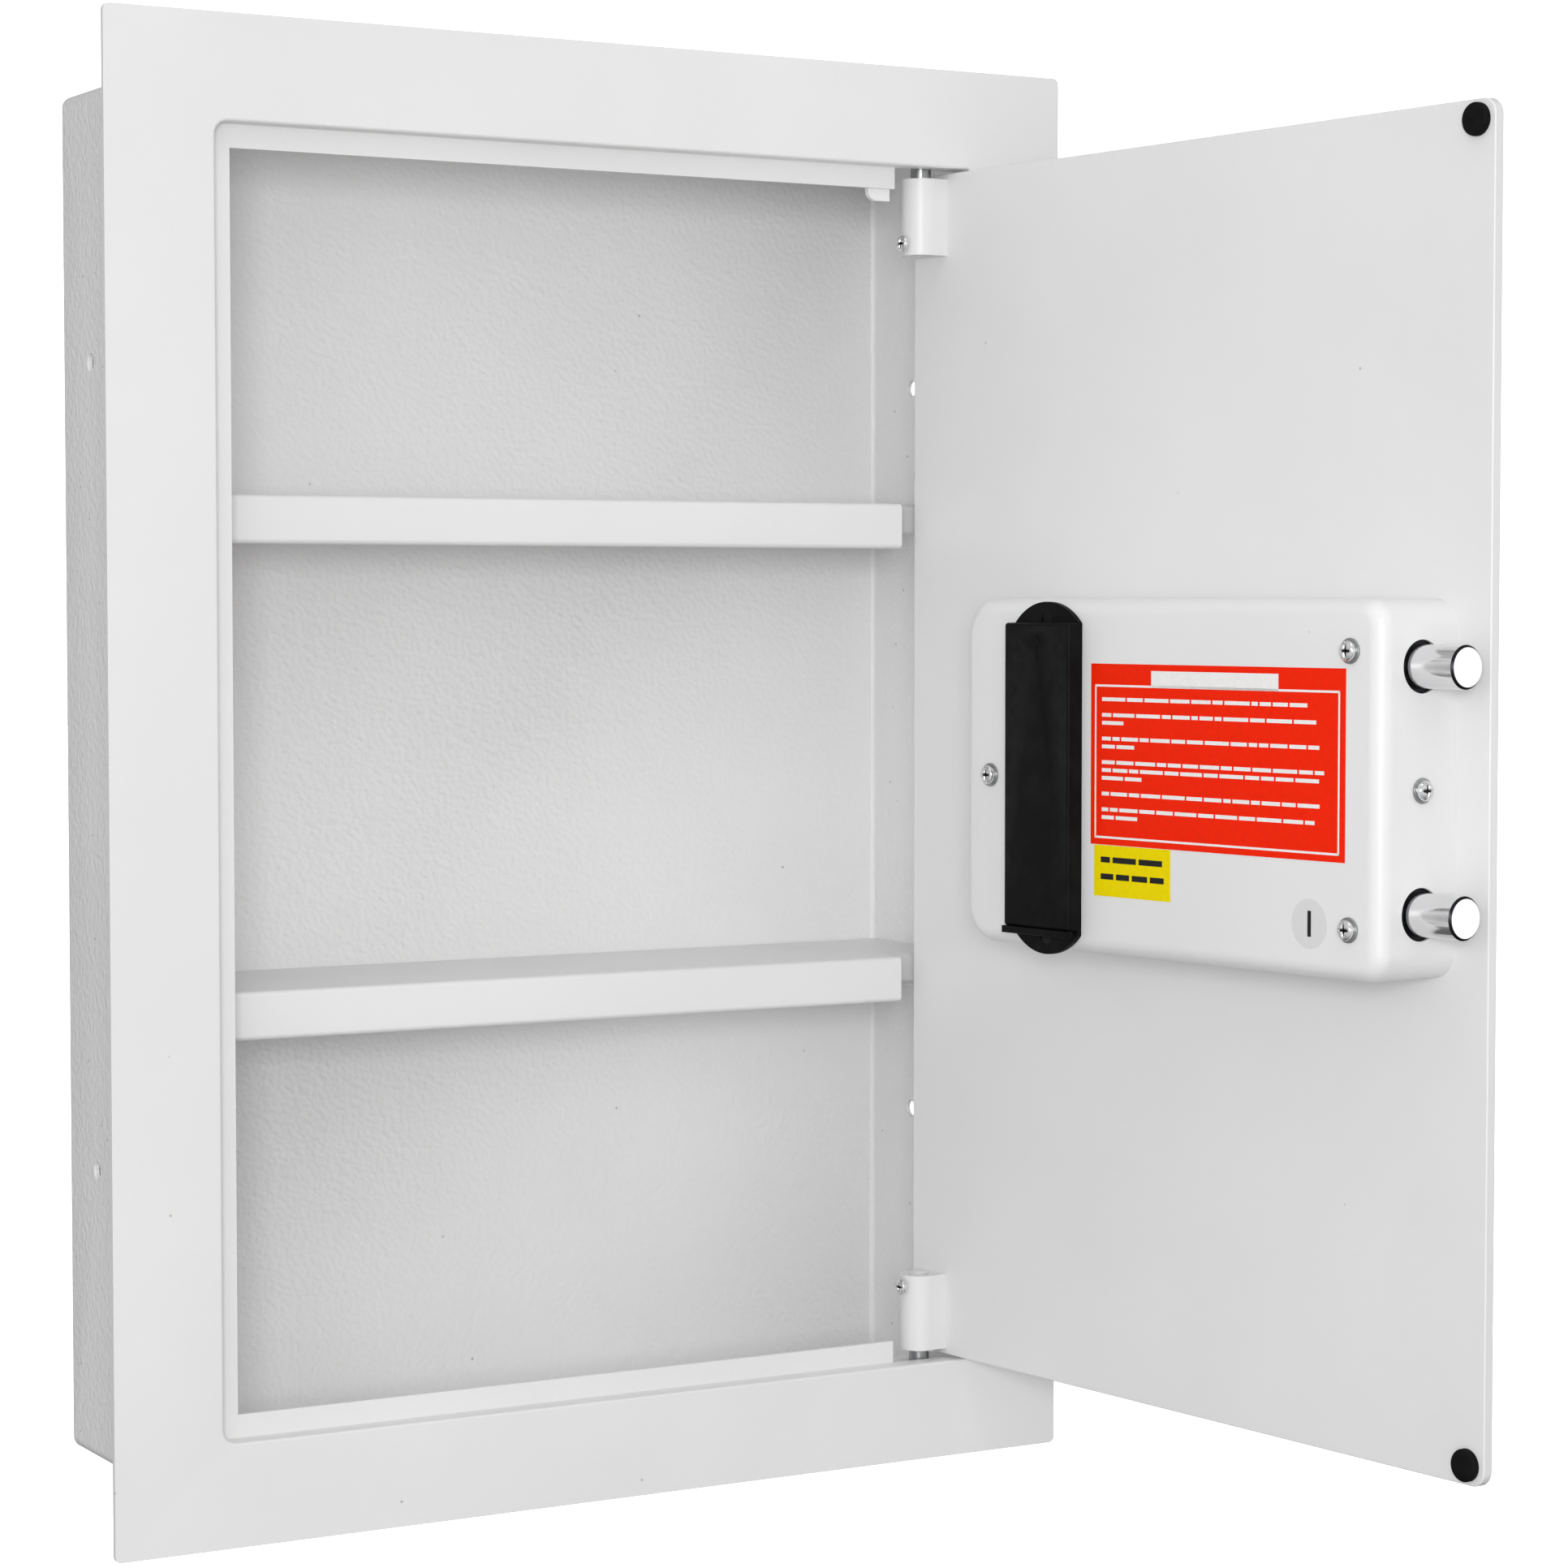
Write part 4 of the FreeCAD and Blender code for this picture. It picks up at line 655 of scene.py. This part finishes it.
class SAFE_OT_bolts(bpy.types.Operator):
    """Turns the two round bolts with a chamfered nose"""
    bl_idname = "safe.bolts"
    bl_label = "Locking bolts"

    def execute(self, context):
        chamfer = context.scene.safe_metal.chamfer
        for node in ("locking_bolt_upper", "locking_bolt_lower"):
            low, high = door_box(node)
            radius = (high[2] - low[2]) / 2
            length = high[0] - low[0]
            profile = [(0, 0), (radius - chamfer, 0), (radius, chamfer), (radius, length * 0.25),
                       (radius, length * 0.5), (radius, length - chamfer), (radius - chamfer, length),
                       (0, length)]
            base = on_door((low[0], (low[1] + high[1]) / 2, (low[2] + high[2]) / 2))
            shape = turned(profile, base, TO_HINGE, 128)
            piece = make_piece(node + "_turned", shape, bright_plate(context.scene),
                               "bolt_work", 30.0)
            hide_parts(node)
            # A thin dark ring over each bolt's nose chamfer: painted shade and reflection, not a part of the
            # bolt.
            proud = 0.02 * MM
            inner = radius - chamfer
            rim = [(inner, 0), (radius + proud, chamfer), (inner, chamfer), (inner, 0)]
            make_piece(node + "_painted_chamfer_shade", turned(rim, base, TO_HINGE, 128), black_oxide(),
                       "bolt_work", 30.0)
        return {"FINISHED"}


def screw_head(base, axis, radius, height, depth):
    """Pan head with a cross recess, as a height over a disc, and a plain side.

    The height is the head's height times the square root of one less the share of the radius to a power,
    lowered by the recess depth where a point is near either arm of the cross.
    """
    rings = 26
    segments = 72
    share = np.linspace(0, 1, rings) ** 0.8
    angle = np.linspace(0, 2 * np.pi, segments, endpoint=False)
    distance = np.outer(share, np.ones(segments)) * radius
    across = distance * np.cos(angle)
    along = distance * np.sin(angle)
    dome = height * (0.42 + 0.58 * np.sqrt(np.clip(1 - (distance / radius) ** 2.6, 0, 1)))
    arm = radius * 0.13
    reach = radius * 0.62
    softness = radius * 0.05

    def inside(value, limit):
        return 1 / (1 + np.exp((np.abs(value) - limit) / softness))

    cross = np.maximum(inside(across, arm) * inside(along, reach), inside(along, arm) * inside(across, reach))
    core = inside(distance, radius * 0.24)
    top = dome - depth * np.clip(np.maximum(cross, core), 0, 1) * (1 - 0.45 * distance / reach).clip(0.3, 1)
    axis = np.asarray(axis, float)
    side = np.cross(axis, UP if abs(axis[2]) < 0.9 else TO_HINGE)
    side /= np.linalg.norm(side)
    front = np.cross(axis, side)
    crown = base + top[..., None] * axis + across[..., None] * side + along[..., None] * front
    rim = base + across[-1][:, None] * side + along[-1][:, None] * front
    foot = np.repeat(base[None], segments, 0)
    points = np.concatenate([crown.reshape(-1, 3), rim, foot])
    return points, grid_faces(rings + 2, segments)


class SAFE_OT_screws(bpy.types.Operator):
    """Makes the cross-recessed screws of the cover and the knuckles, and their washers"""
    bl_idname = "safe.screws"
    bl_label = "Screws and washers"

    def execute(self, context):
        for node in ("cover_screws", "knuckle_screws"):
            for number, solid in enumerate(solids_of(node), 1):
                piece = self.screw(context, f"{node[:-1]}_{number}", off_door(solid))
            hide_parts(node)
        self.washers(context)
        return {"FINISHED"}

    def screw(self, context, name, points):
        """One screw where the given points are: its head, its shank and the painted shade in its recess.

        Its head faces inward on the lock cover, and away from the hinges on a knuckle.
        """
        low, high = points.min(0), points.max(0)
        size = high - low
        line = INWARD_LINE if size[1] > size[0] else HINGE_LINE
        outward = 1 if line == INWARD_LINE else -1
        axis = DOOR_AXES[line] * outward
        tip = (low + high) / 2
        tip[line] = high[line] if outward > 0 else low[line]
        radius = max(np.delete(size, line)) / 2
        height = radius * HEAD_SHARE
        shank = size[line] - height
        depth = context.scene.safe_metal.recess * radius / FULL_HEAD_RADIUS
        base = tip.copy()
        base[line] -= height * outward
        head = screw_head(on_door(base), axis, radius, height, depth)
        stem = [(0, 0), (radius * 0.5, 0), (radius * 0.5, -shank * 0.97), (0, -shank)]
        self.recess(name + "_recess_shade", tip, line, radius, depth, black_oxide())
        return make_piece(name, joined(head, turned(stem, on_door(base), axis, 32)),
                          bright_plate(context.scene), sharp=50.0)

    def recess(self, name, tip, line, radius, depth, material):
        """Painted shade in a cross recess: two dark crossed bars sunk below the head's tip."""
        shade_bars_crossed = []
        sunk = depth * 0.72 if line == INWARD_LINE else -depth * 0.72
        for long_way in (index for index in range(3) if index != line):
            half = np.full(3, radius * 0.11)
            half[long_way] = radius * 0.50
            half[line] = depth * 0.20
            middle = tip.copy()
            middle[line] -= sunk
            shade_bars_crossed.append(slab(middle - half, middle + half))
        points, faces = joined(*shade_bars_crossed)
        make_piece(name, (on_door(points), faces), material, sharp=30.0)

    def washers(self, context):
        """Plain washers with rounded rims under the cover's screws."""
        for number, solid in enumerate(solids_of("cover_washers"), 1):
            points = off_door(solid)
            low, high = points.min(0), points.max(0)
            size = high - low
            line = int(np.argmin(size))
            axis = DOOR_AXES[line]
            thick = size[line]
            outer = max(size) / 2
            inner = outer * 0.5
            base = (low + high) / 2
            base[line] = low[line]
            edge = thick * 0.3
            profile = np.concatenate([[(inner, 0)],
                                      arc((outer - edge, edge), edge, -90, 0, 4),
                                      arc((outer - edge, thick - edge), edge, 0, 90, 4),
                                      [(inner, thick), (inner, 0)]])
            piece = make_piece(f"cover_washer_{number}", turned(profile, on_door(base), axis, 48),
                               zinc_plate(context.scene))
        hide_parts("cover_washers")


class SAFE_OT_bumper_pads(bpy.types.Operator):
    """Moulds the round rubber pads at the door's free corners"""
    bl_idname = "safe.bumper_pads"
    bl_label = "Bumper pads"

    def execute(self, context):
        material = shared("black_rubber", rubber, (0.004, 0.004, 0.004))
        for number, solid in enumerate(solids_of("bumper_pads"), 1):
            points = off_door(solid)
            low, high = points.min(0), points.max(0)
            radius = (high[0] - low[0]) / 2
            thick = high[1] - low[1]
            base = (low + high) / 2
            base[INWARD_LINE] = low[INWARD_LINE]
            edge = thick * 0.42
            crown = arc((radius - edge, thick - edge), edge, 0, 84, 8)
            top = [(radius * 0.4, thick - 0.02 * MM), (0, thick)]
            profile = np.concatenate([[(0, 0), (radius, 0)], crown, top])
            shape = turned(profile, on_door(base), INWARD, 72)
            piece = make_piece(f"bumper_pad_{number}", shape, material)
        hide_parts("bumper_pads")
        return {"FINISHED"}


class SAFE_OT_return_spring(bpy.types.Operator):
    """Winds the spring that throws the bolts, at one fixed length; the real spring shortens as they draw back
    """
    bl_idname = "safe.return_spring"
    bl_label = "Return spring"

    def execute(self, context):
        settings = context.scene.safe_spring
        low, high = door_box("return_spring")
        wire = settings.wire / 2
        mean = (high[2] - low[2]) / 2 - wire
        middle = (low + high) / 2
        shape = coil(middle[1], middle[2], low[0] + wire, high[0] - wire, mean, wire, settings.turns)
        piece = make_piece("return_spring_coil", shape, zinc_plate(context.scene), sharp=60.0)
        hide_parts("return_spring")
        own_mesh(piece)
        return {"FINISHED"}


def coil(inward, up, start, end, mean, wire, turns):
    """Round wire wound about a line along the door, with a closed turn at each end.

    The wire's centre goes round by the turn angle at the mean radius. It goes forward evenly, and more
    slowly over the first and last turn. Each section is a circle across the wire's direction.
    """
    share = np.linspace(0, 1, turns * 40 + 1)
    angle = share * turns * 2 * np.pi
    one_turn = 1.0 / turns
    closed = 2.1 * wire
    forward = np.interp(share, [0, one_turn, 1 - one_turn, 1], [start, start + closed, end - closed, end])
    centre = np.stack([forward, inward + mean * np.cos(angle), up + mean * np.sin(angle)], -1)
    tangent = np.gradient(centre, axis=0)
    tangent /= np.linalg.norm(tangent, axis=1)[:, None]
    outward = np.stack([np.zeros_like(angle), np.cos(angle), np.sin(angle)], -1)
    other = np.cross(tangent, outward)
    sides = 10
    around = np.linspace(0, 2 * np.pi, sides, endpoint=False)[None, :, None]
    section = np.cos(around) * outward[:, None] + np.sin(around) * other[:, None]
    body = (centre[:, None] + wire * section).reshape(-1, 3)
    ends = np.concatenate([np.repeat(centre[:1], sides, 0), body, np.repeat(centre[-1:], sides, 0)])
    return on_door(ends), grid_faces(len(centre) + 2, sides)


class SAFE_OT_battery_bay(bpy.types.Operator):
    """Finishes the battery tray, its sliding cover, the cells, their contacts and the setting button"""
    bl_idname = "safe.battery_bay"
    bl_label = "Battery bay"

    def execute(self, context):
        black = black_moulding()
        rolled_copy("battery_lid", black, 0.3 * MM)
        rolled_copy("battery_tray", black, 0.3 * MM)
        low, high = door_box("battery_cells")
        dress("battery_cells", shared("cell_wrap", cell_wrap, low[2], high[2]))
        dress("battery_contacts", bright_plate(context.scene))
        # The tray screws are blackened, which also paints the shade in their recesses.
        dress("tray_screws", black_oxide())
        red = shared("red_button", moulded, (0.55, 0.02, 0.01), 0.35, 0.6 * MM, 0.02 * MM)
        dress("setting_button", red)
        return {"FINISHED"}


def bars(left, right, top, rows, row_height, seed):
    """Plain bars in rows, broken at odd places, as (start, stop, low, high) blocks.

    Rows are (share of the full width, gap above in rows). Lengths come from a fixed random sequence.
    """
    chance = np.random.RandomState(seed)
    blocks = []
    up = top
    for share, gap in rows:
        up -= row_height * (1 + gap)
        limit = left + (right - left) * share
        place = left
        while place < limit - row_height:
            length = row_height * chance.uniform(1.2, 5.0)
            stop = min(place + length, limit)
            blocks.append((place, stop, up, up + row_height * 0.52))
            place = stop + row_height * 0.36
    return blocks


def blocks_shape(blocks, face, thick, across):
    """Flat blocks from (start, stop, low, high), laid on a face.

    The given function turns a distance along the sticker into a place towards the hinges.
    """
    shapes = []
    for start, stop, low, high in blocks:
        near, far = sorted((across(start), across(stop)))
        shapes.append(slab(np.array([near, face, low]), np.array([far, face + thick, high])))
    points, faces = joined(*shapes)
    return on_door(points), faces


class SAFE_OT_labels(bpy.types.Operator):
    """Prints the plain stickers: a ruled red one, a small yellow one and a clear round one"""
    bl_idname = "safe.labels"
    bl_label = "Stickers"

    def execute(self, context):
        labels = context.scene.safe_labels
        dress("notice_label", shared("red_film", printed_film, labels.notice, 0.34))
        dress("rating_label", shared("yellow_film", printed_film, labels.rating, 0.36))
        dress("round_label", shared("clear_film", clear_film, (0.70, 0.70, 0.70)))
        if not labels.ruled:
            return {"FINISHED"}
        white = shared("white_ink", printed_film, (0.86, 0.85, 0.84), 0.4)
        black = shared("black_ink", printed_film, (0.02, 0.02, 0.02), 0.4)
        thick = 0.04 * MM
        self.notice(white, thick)
        self.rating(black, thick)
        self.round_mark(black, thick)
        return {"FINISHED"}

    def notice(self, ink, thick):
        """White rule, heading block and rows of bars on the large sticker, read from the hinge side."""
        low, high = door_box("notice_label")
        width, height = high[0] - low[0], high[2] - low[2]

        def across(distance):
            return high[0] - distance

        margin, rule = width * 0.017, width * 0.006
        top = high[2] - height * 0.115
        bottom = low[2] + height * 0.035
        left, right = margin, width - margin * 1.2
        blocks = [(left, right, top - rule, top), (left, right, bottom, bottom + rule),
                  (left, left + rule, bottom, top), (right - rule, right, bottom, top),
                  (width * 0.25, width * 0.75, top - rule, high[2] - height * 0.035)]
        lines = [(0.90, 1.0), (0.94, 1.2), (0.12, 0.1), (0.95, 1.2), (0.17, 0.1), (0.97, 1.2), (0.95, 0.1),
                 (0.21, 0.1), (0.96, 1.2), (0.94, 1.2), (0.19, 0.1)]
        row = (top - bottom) / 21.5
        blocks += bars(left + width * 0.03, right - width * 0.03, top - row * 0.3, lines, row, 4)
        make_piece("notice_print", blocks_shape(blocks, high[1], thick, across), ink, sharp=30.0)

    def rating(self, ink, thick):
        """Two rows of dark bars on the small sticker."""
        low, high = door_box("rating_label")
        width, height = high[0] - low[0], high[2] - low[2]
        row = height * 0.22
        lines = [(0.98, 0.0), (1.0, 0.5)]
        blocks = bars(width * 0.09, width * 0.92, high[2] - height * 0.12, lines, row, 9)
        shape = blocks_shape(blocks, high[1], thick, lambda distance: high[0] - distance)
        make_piece("rating_print", shape, ink, sharp=30.0)

    def round_mark(self, ink, thick):
        """One upright dark bar on the round sticker."""
        low, high = door_box("round_label")
        middle = (low[0] + high[0]) / 2
        size = high[0] - low[0]
        up = (low[2] + high[2]) / 2
        blocks = [(middle - size * 0.05, middle + size * 0.05, up - size * 0.26, up + size * 0.26)]
        shape = blocks_shape(blocks, high[1], thick, lambda distance: distance)
        make_piece("round_mark", shape, ink, sharp=30.0)


class SAFE_OT_reader(bpy.types.Operator):
    """Finishes the reader on the door's front: case, window, indicators, key cylinder and its cap"""
    bl_idname = "safe.reader"
    bl_label = "Finger reader"

    def execute(self, context):
        rolled_copy("reader_bezel", black_moulding(), 0.3 * MM)
        gloss_black = shared("gloss_black", moulded, (0.008, 0.008, 0.009), 0.16, 4.0 * MM, FINE_BUMP)
        rolled_copy("keyhole_cap", gloss_black, 0.2 * MM)
        dress("sensor_window", shared("smoked_glass", smoked_glass))
        dress("sensor_module", black_moulding())
        dress("status_leds", shared("indicator", moulded, (0.16, 0.55, 0.22), 0.25, 0.8 * MM, FINE_BUMP))
        brass = shared("turned_brass", plated, (0.78, 0.60, 0.30), 0.24, FINE_BUMP, (700, 700, 700))
        for node in ("key_cylinder", "cylinder_nut", "key_plug"):
            dress(node, brass)
        return {"FINISHED"}


class SAFE_OT_mechanism(bpy.types.Operator):
    """Finishes the pieces inside the lock cover"""
    bl_idname = "safe.mechanism"
    bl_label = "Mechanism"

    def execute(self, context):
        zinc = zinc_plate(context.scene)
        # The bolt guide is blackened, which also paints the shade in the gap round each bolt.
        dress("bolt_guide", black_oxide())
        for node in ("cover_post", "bolt_carriage", "bolt_screws", "gear_motor", "motor_bracket",
                     "spring_rod", "key_cam", "cam_screw", "board_posts"):
            dress(node, zinc)
        acetal = shared("acetal", moulded, (0.72, 0.70, 0.64), 0.4, 0.8 * MM, FINE_BUMP)
        for node in ("drive_rack", "drive_pinion"):
            dress(node, acetal)
        for node in ("limit_switch", "board_parts", "buzzer", "board_button"):
            dress(node, black_moulding())
        dress("circuit_board", shared("circuit_green", circuit_green))
        sleeve = shared("wire_sleeve", moulded, (0.42, 0.02, 0.015), 0.45, 1.0 * MM, FINE_BUMP)
        for node in ("motor_leads", "battery_leads"):
            dress(node, sleeve)
        grey = shared("flat_lead", moulded, (0.55, 0.54, 0.52), 0.4, 1.0 * MM, FINE_BUMP)
        dress("sensor_lead", grey)
        return {"FINISHED"}


class SAFE_OT_stage(bpy.types.Operator):
    """Sets the pale floor and backdrop, the soft lights and the camera"""
    bl_idname = "safe.stage"
    bl_label = "Stage"

    def execute(self, context):
        scene = context.scene
        settings = scene.safe_stage
        self.floor(scene)
        world = bpy.data.worlds.new("surround")
        scene.world = world
        world.use_nodes = True
        world.node_tree.nodes["Background"].inputs["Color"].default_value = (1, 1, 1, 1)
        self.surround(world.node_tree, settings.world)
        middle = (0.0, -0.05, 0.0)
        door_middle = (0.17, -0.17, 0.0)
        bolt_ends = (0.165, -0.30, 0.0)
        self.soft_light("door_light", (-1.0, -1.05, 0.35), door_middle, 0.35, settings.door, 45.0)
        self.soft_light("fill_light", (-0.80, -1.50, 0.15), middle, 0.35, settings.fill, 180.0)
        self.soft_light("right_light", (0.95, -1.75, 0.12), middle, 1.2, settings.right, 180.0)
        self.soft_light("bolt_light", (1.45, -1.28, 0.02), bolt_ends, 0.6, settings.bolts, 180.0)
        self.soft_light("top_light", (-0.2, -0.9, 1.5), middle, 0.9, settings.top, 180.0)
        tilt_down, turn_right = 2.732, 29.856
        camera_data = bpy.data.cameras.new("camera")
        camera_data.lens = settings.lens
        camera_data.sensor_width = 36.0
        camera_data.clip_end = 50.0
        camera = bpy.data.objects.new("camera", camera_data)
        camera.location = (-0.6670, -1.2922, 0.0668)
        camera.rotation_euler = (math.radians(90.0 - tilt_down), 0.0, math.radians(-turn_right))
        scene.collection.objects.link(camera)
        scene.camera = camera
        scene.view_settings.view_transform = "Standard"
        return {"FINISHED"}

    def floor(self, scene):
        """A pale floor that sweeps up into a backdrop: flat, then a quarter circle, then upright."""
        level = CAD_BOX[0][2]
        front, back, top = -6.0, 2.2, 6.0
        radius = 1.2
        curve = arc((back, level + radius), radius, -90, 0, 24)
        profile = np.concatenate([[(front, level)], curve, [(back + radius, top)]])
        sides = np.array([-9.0, 9.0])
        across = np.repeat(sides[None], len(profile), 0)
        along = np.repeat(profile[:, :1], 2, 1)
        up = np.repeat(profile[:, 1:], 2, 1)
        points = np.stack([across, along, up], -1).reshape(-1, 3)
        mesh = bpy.data.meshes.new("floor")
        mesh.from_pydata(points.tolist(), [], grid_faces(len(profile), 2, False).tolist())
        mesh.shade_smooth()
        material, tree, shader, place = blank_material("pale_floor")
        tone = spread(tree, noise(tree, place, 3.0), 0.3, 0.7, 0.0, 1.0)
        tint(tree, shader, tone, (0.90, 0.90, 0.90), (0.92, 0.92, 0.92))
        shader.inputs["Roughness"].default_value = 0.9
        shader.inputs["Specular IOR Level"].default_value = 0.1
        shader.inputs["Emission Color"].default_value = (1, 1, 1, 1)
        shader.inputs["Emission Strength"].default_value = 0.9
        mesh.materials.append(material)
        floor = bpy.data.objects.new("floor", mesh)
        scene.collection.objects.link(floor)
        floor.visible_diffuse = False
        floor.visible_glossy = False

    def surround(self, tree, strength):
        """Light from all round that is strongest from the front and above and falls away behind.

        Looked at directly, it is plain white.
        """
        towards = tree.nodes.new("ShaderNodeVectorMath")
        towards.operation = "DOT_PRODUCT"
        tree.links.new(tree.nodes.new("ShaderNodeTexCoord").outputs["Object"], towards.inputs[0])
        towards.inputs[1].default_value = (-0.60, -0.62, 0.50)
        level = spread(tree, towards.outputs["Value"], -0.50, 0.50, strength * 0.24, strength * 1.22)
        seen = combine(tree, level, tree.nodes.new("ShaderNodeLightPath").outputs["Is Camera Ray"], "MAXIMUM")
        tree.links.new(seen, tree.nodes["Background"].inputs["Strength"])

    def soft_light(self, name, place, target, size, power, spread_angle):
        """Square soft light that faces a point, held to a beam of the given angle in degrees."""
        data = bpy.data.lights.new(name, "AREA")
        data.size = size
        data.energy = power
        data.spread = math.radians(spread_angle)
        light = bpy.data.objects.new(name, data)
        light.location = place
        light.rotation_euler = (Vector(target) - Vector(place)).to_track_quat("-Z", "Y").to_euler()
        bpy.context.scene.collection.objects.link(light)


class SAFE_PT_finishes(bpy.types.Panel):
    """Lists the pieces and their settings"""
    bl_idname = "SAFE_PT_finishes"
    bl_label = "Wall safe"
    bl_space_type = "VIEW_3D"
    bl_region_type = "UI"
    bl_category = "Safe"

    def draw(self, context):
        layout = self.layout
        for group in SETTINGS:
            box = layout.box()
            settings = getattr(context.scene, group)
            for name in settings.bl_rna.properties.keys():
                if name not in ("rna_type", "name"):
                    box.prop(settings, name)
        for operator in OPERATORS:
            layout.operator(operator.bl_idname)


OPERATORS = (SAFE_OT_housing, SAFE_OT_door, SAFE_OT_hinge_pins, SAFE_OT_bolts, SAFE_OT_screws,
             SAFE_OT_bumper_pads, SAFE_OT_return_spring, SAFE_OT_battery_bay, SAFE_OT_labels, SAFE_OT_reader,
             SAFE_OT_mechanism, SAFE_OT_stage)


def register():
    """Registers every class and hangs the settings on the scene."""
    for group, settings in SETTINGS.items():
        bpy.utils.register_class(settings)
        setattr(bpy.types.Scene, group, PointerProperty(type=settings))
    for operator in OPERATORS:
        bpy.utils.register_class(operator)
    bpy.utils.register_class(SAFE_PT_finishes)


def unregister():
    """Takes everything off again, in the reverse order."""
    bpy.utils.unregister_class(SAFE_PT_finishes)
    for operator in reversed(OPERATORS):
        bpy.utils.unregister_class(operator)
    for group, settings in reversed(SETTINGS.items()):
        delattr(bpy.types.Scene, group)
        bpy.utils.unregister_class(settings)


def main():
    """Runs every operator in order."""
    register()
    for operator in OPERATORS:
        group, name = operator.bl_idname.split(".")
        getattr(getattr(bpy.ops, group), name)()


if __name__ == "__main__":
    main()
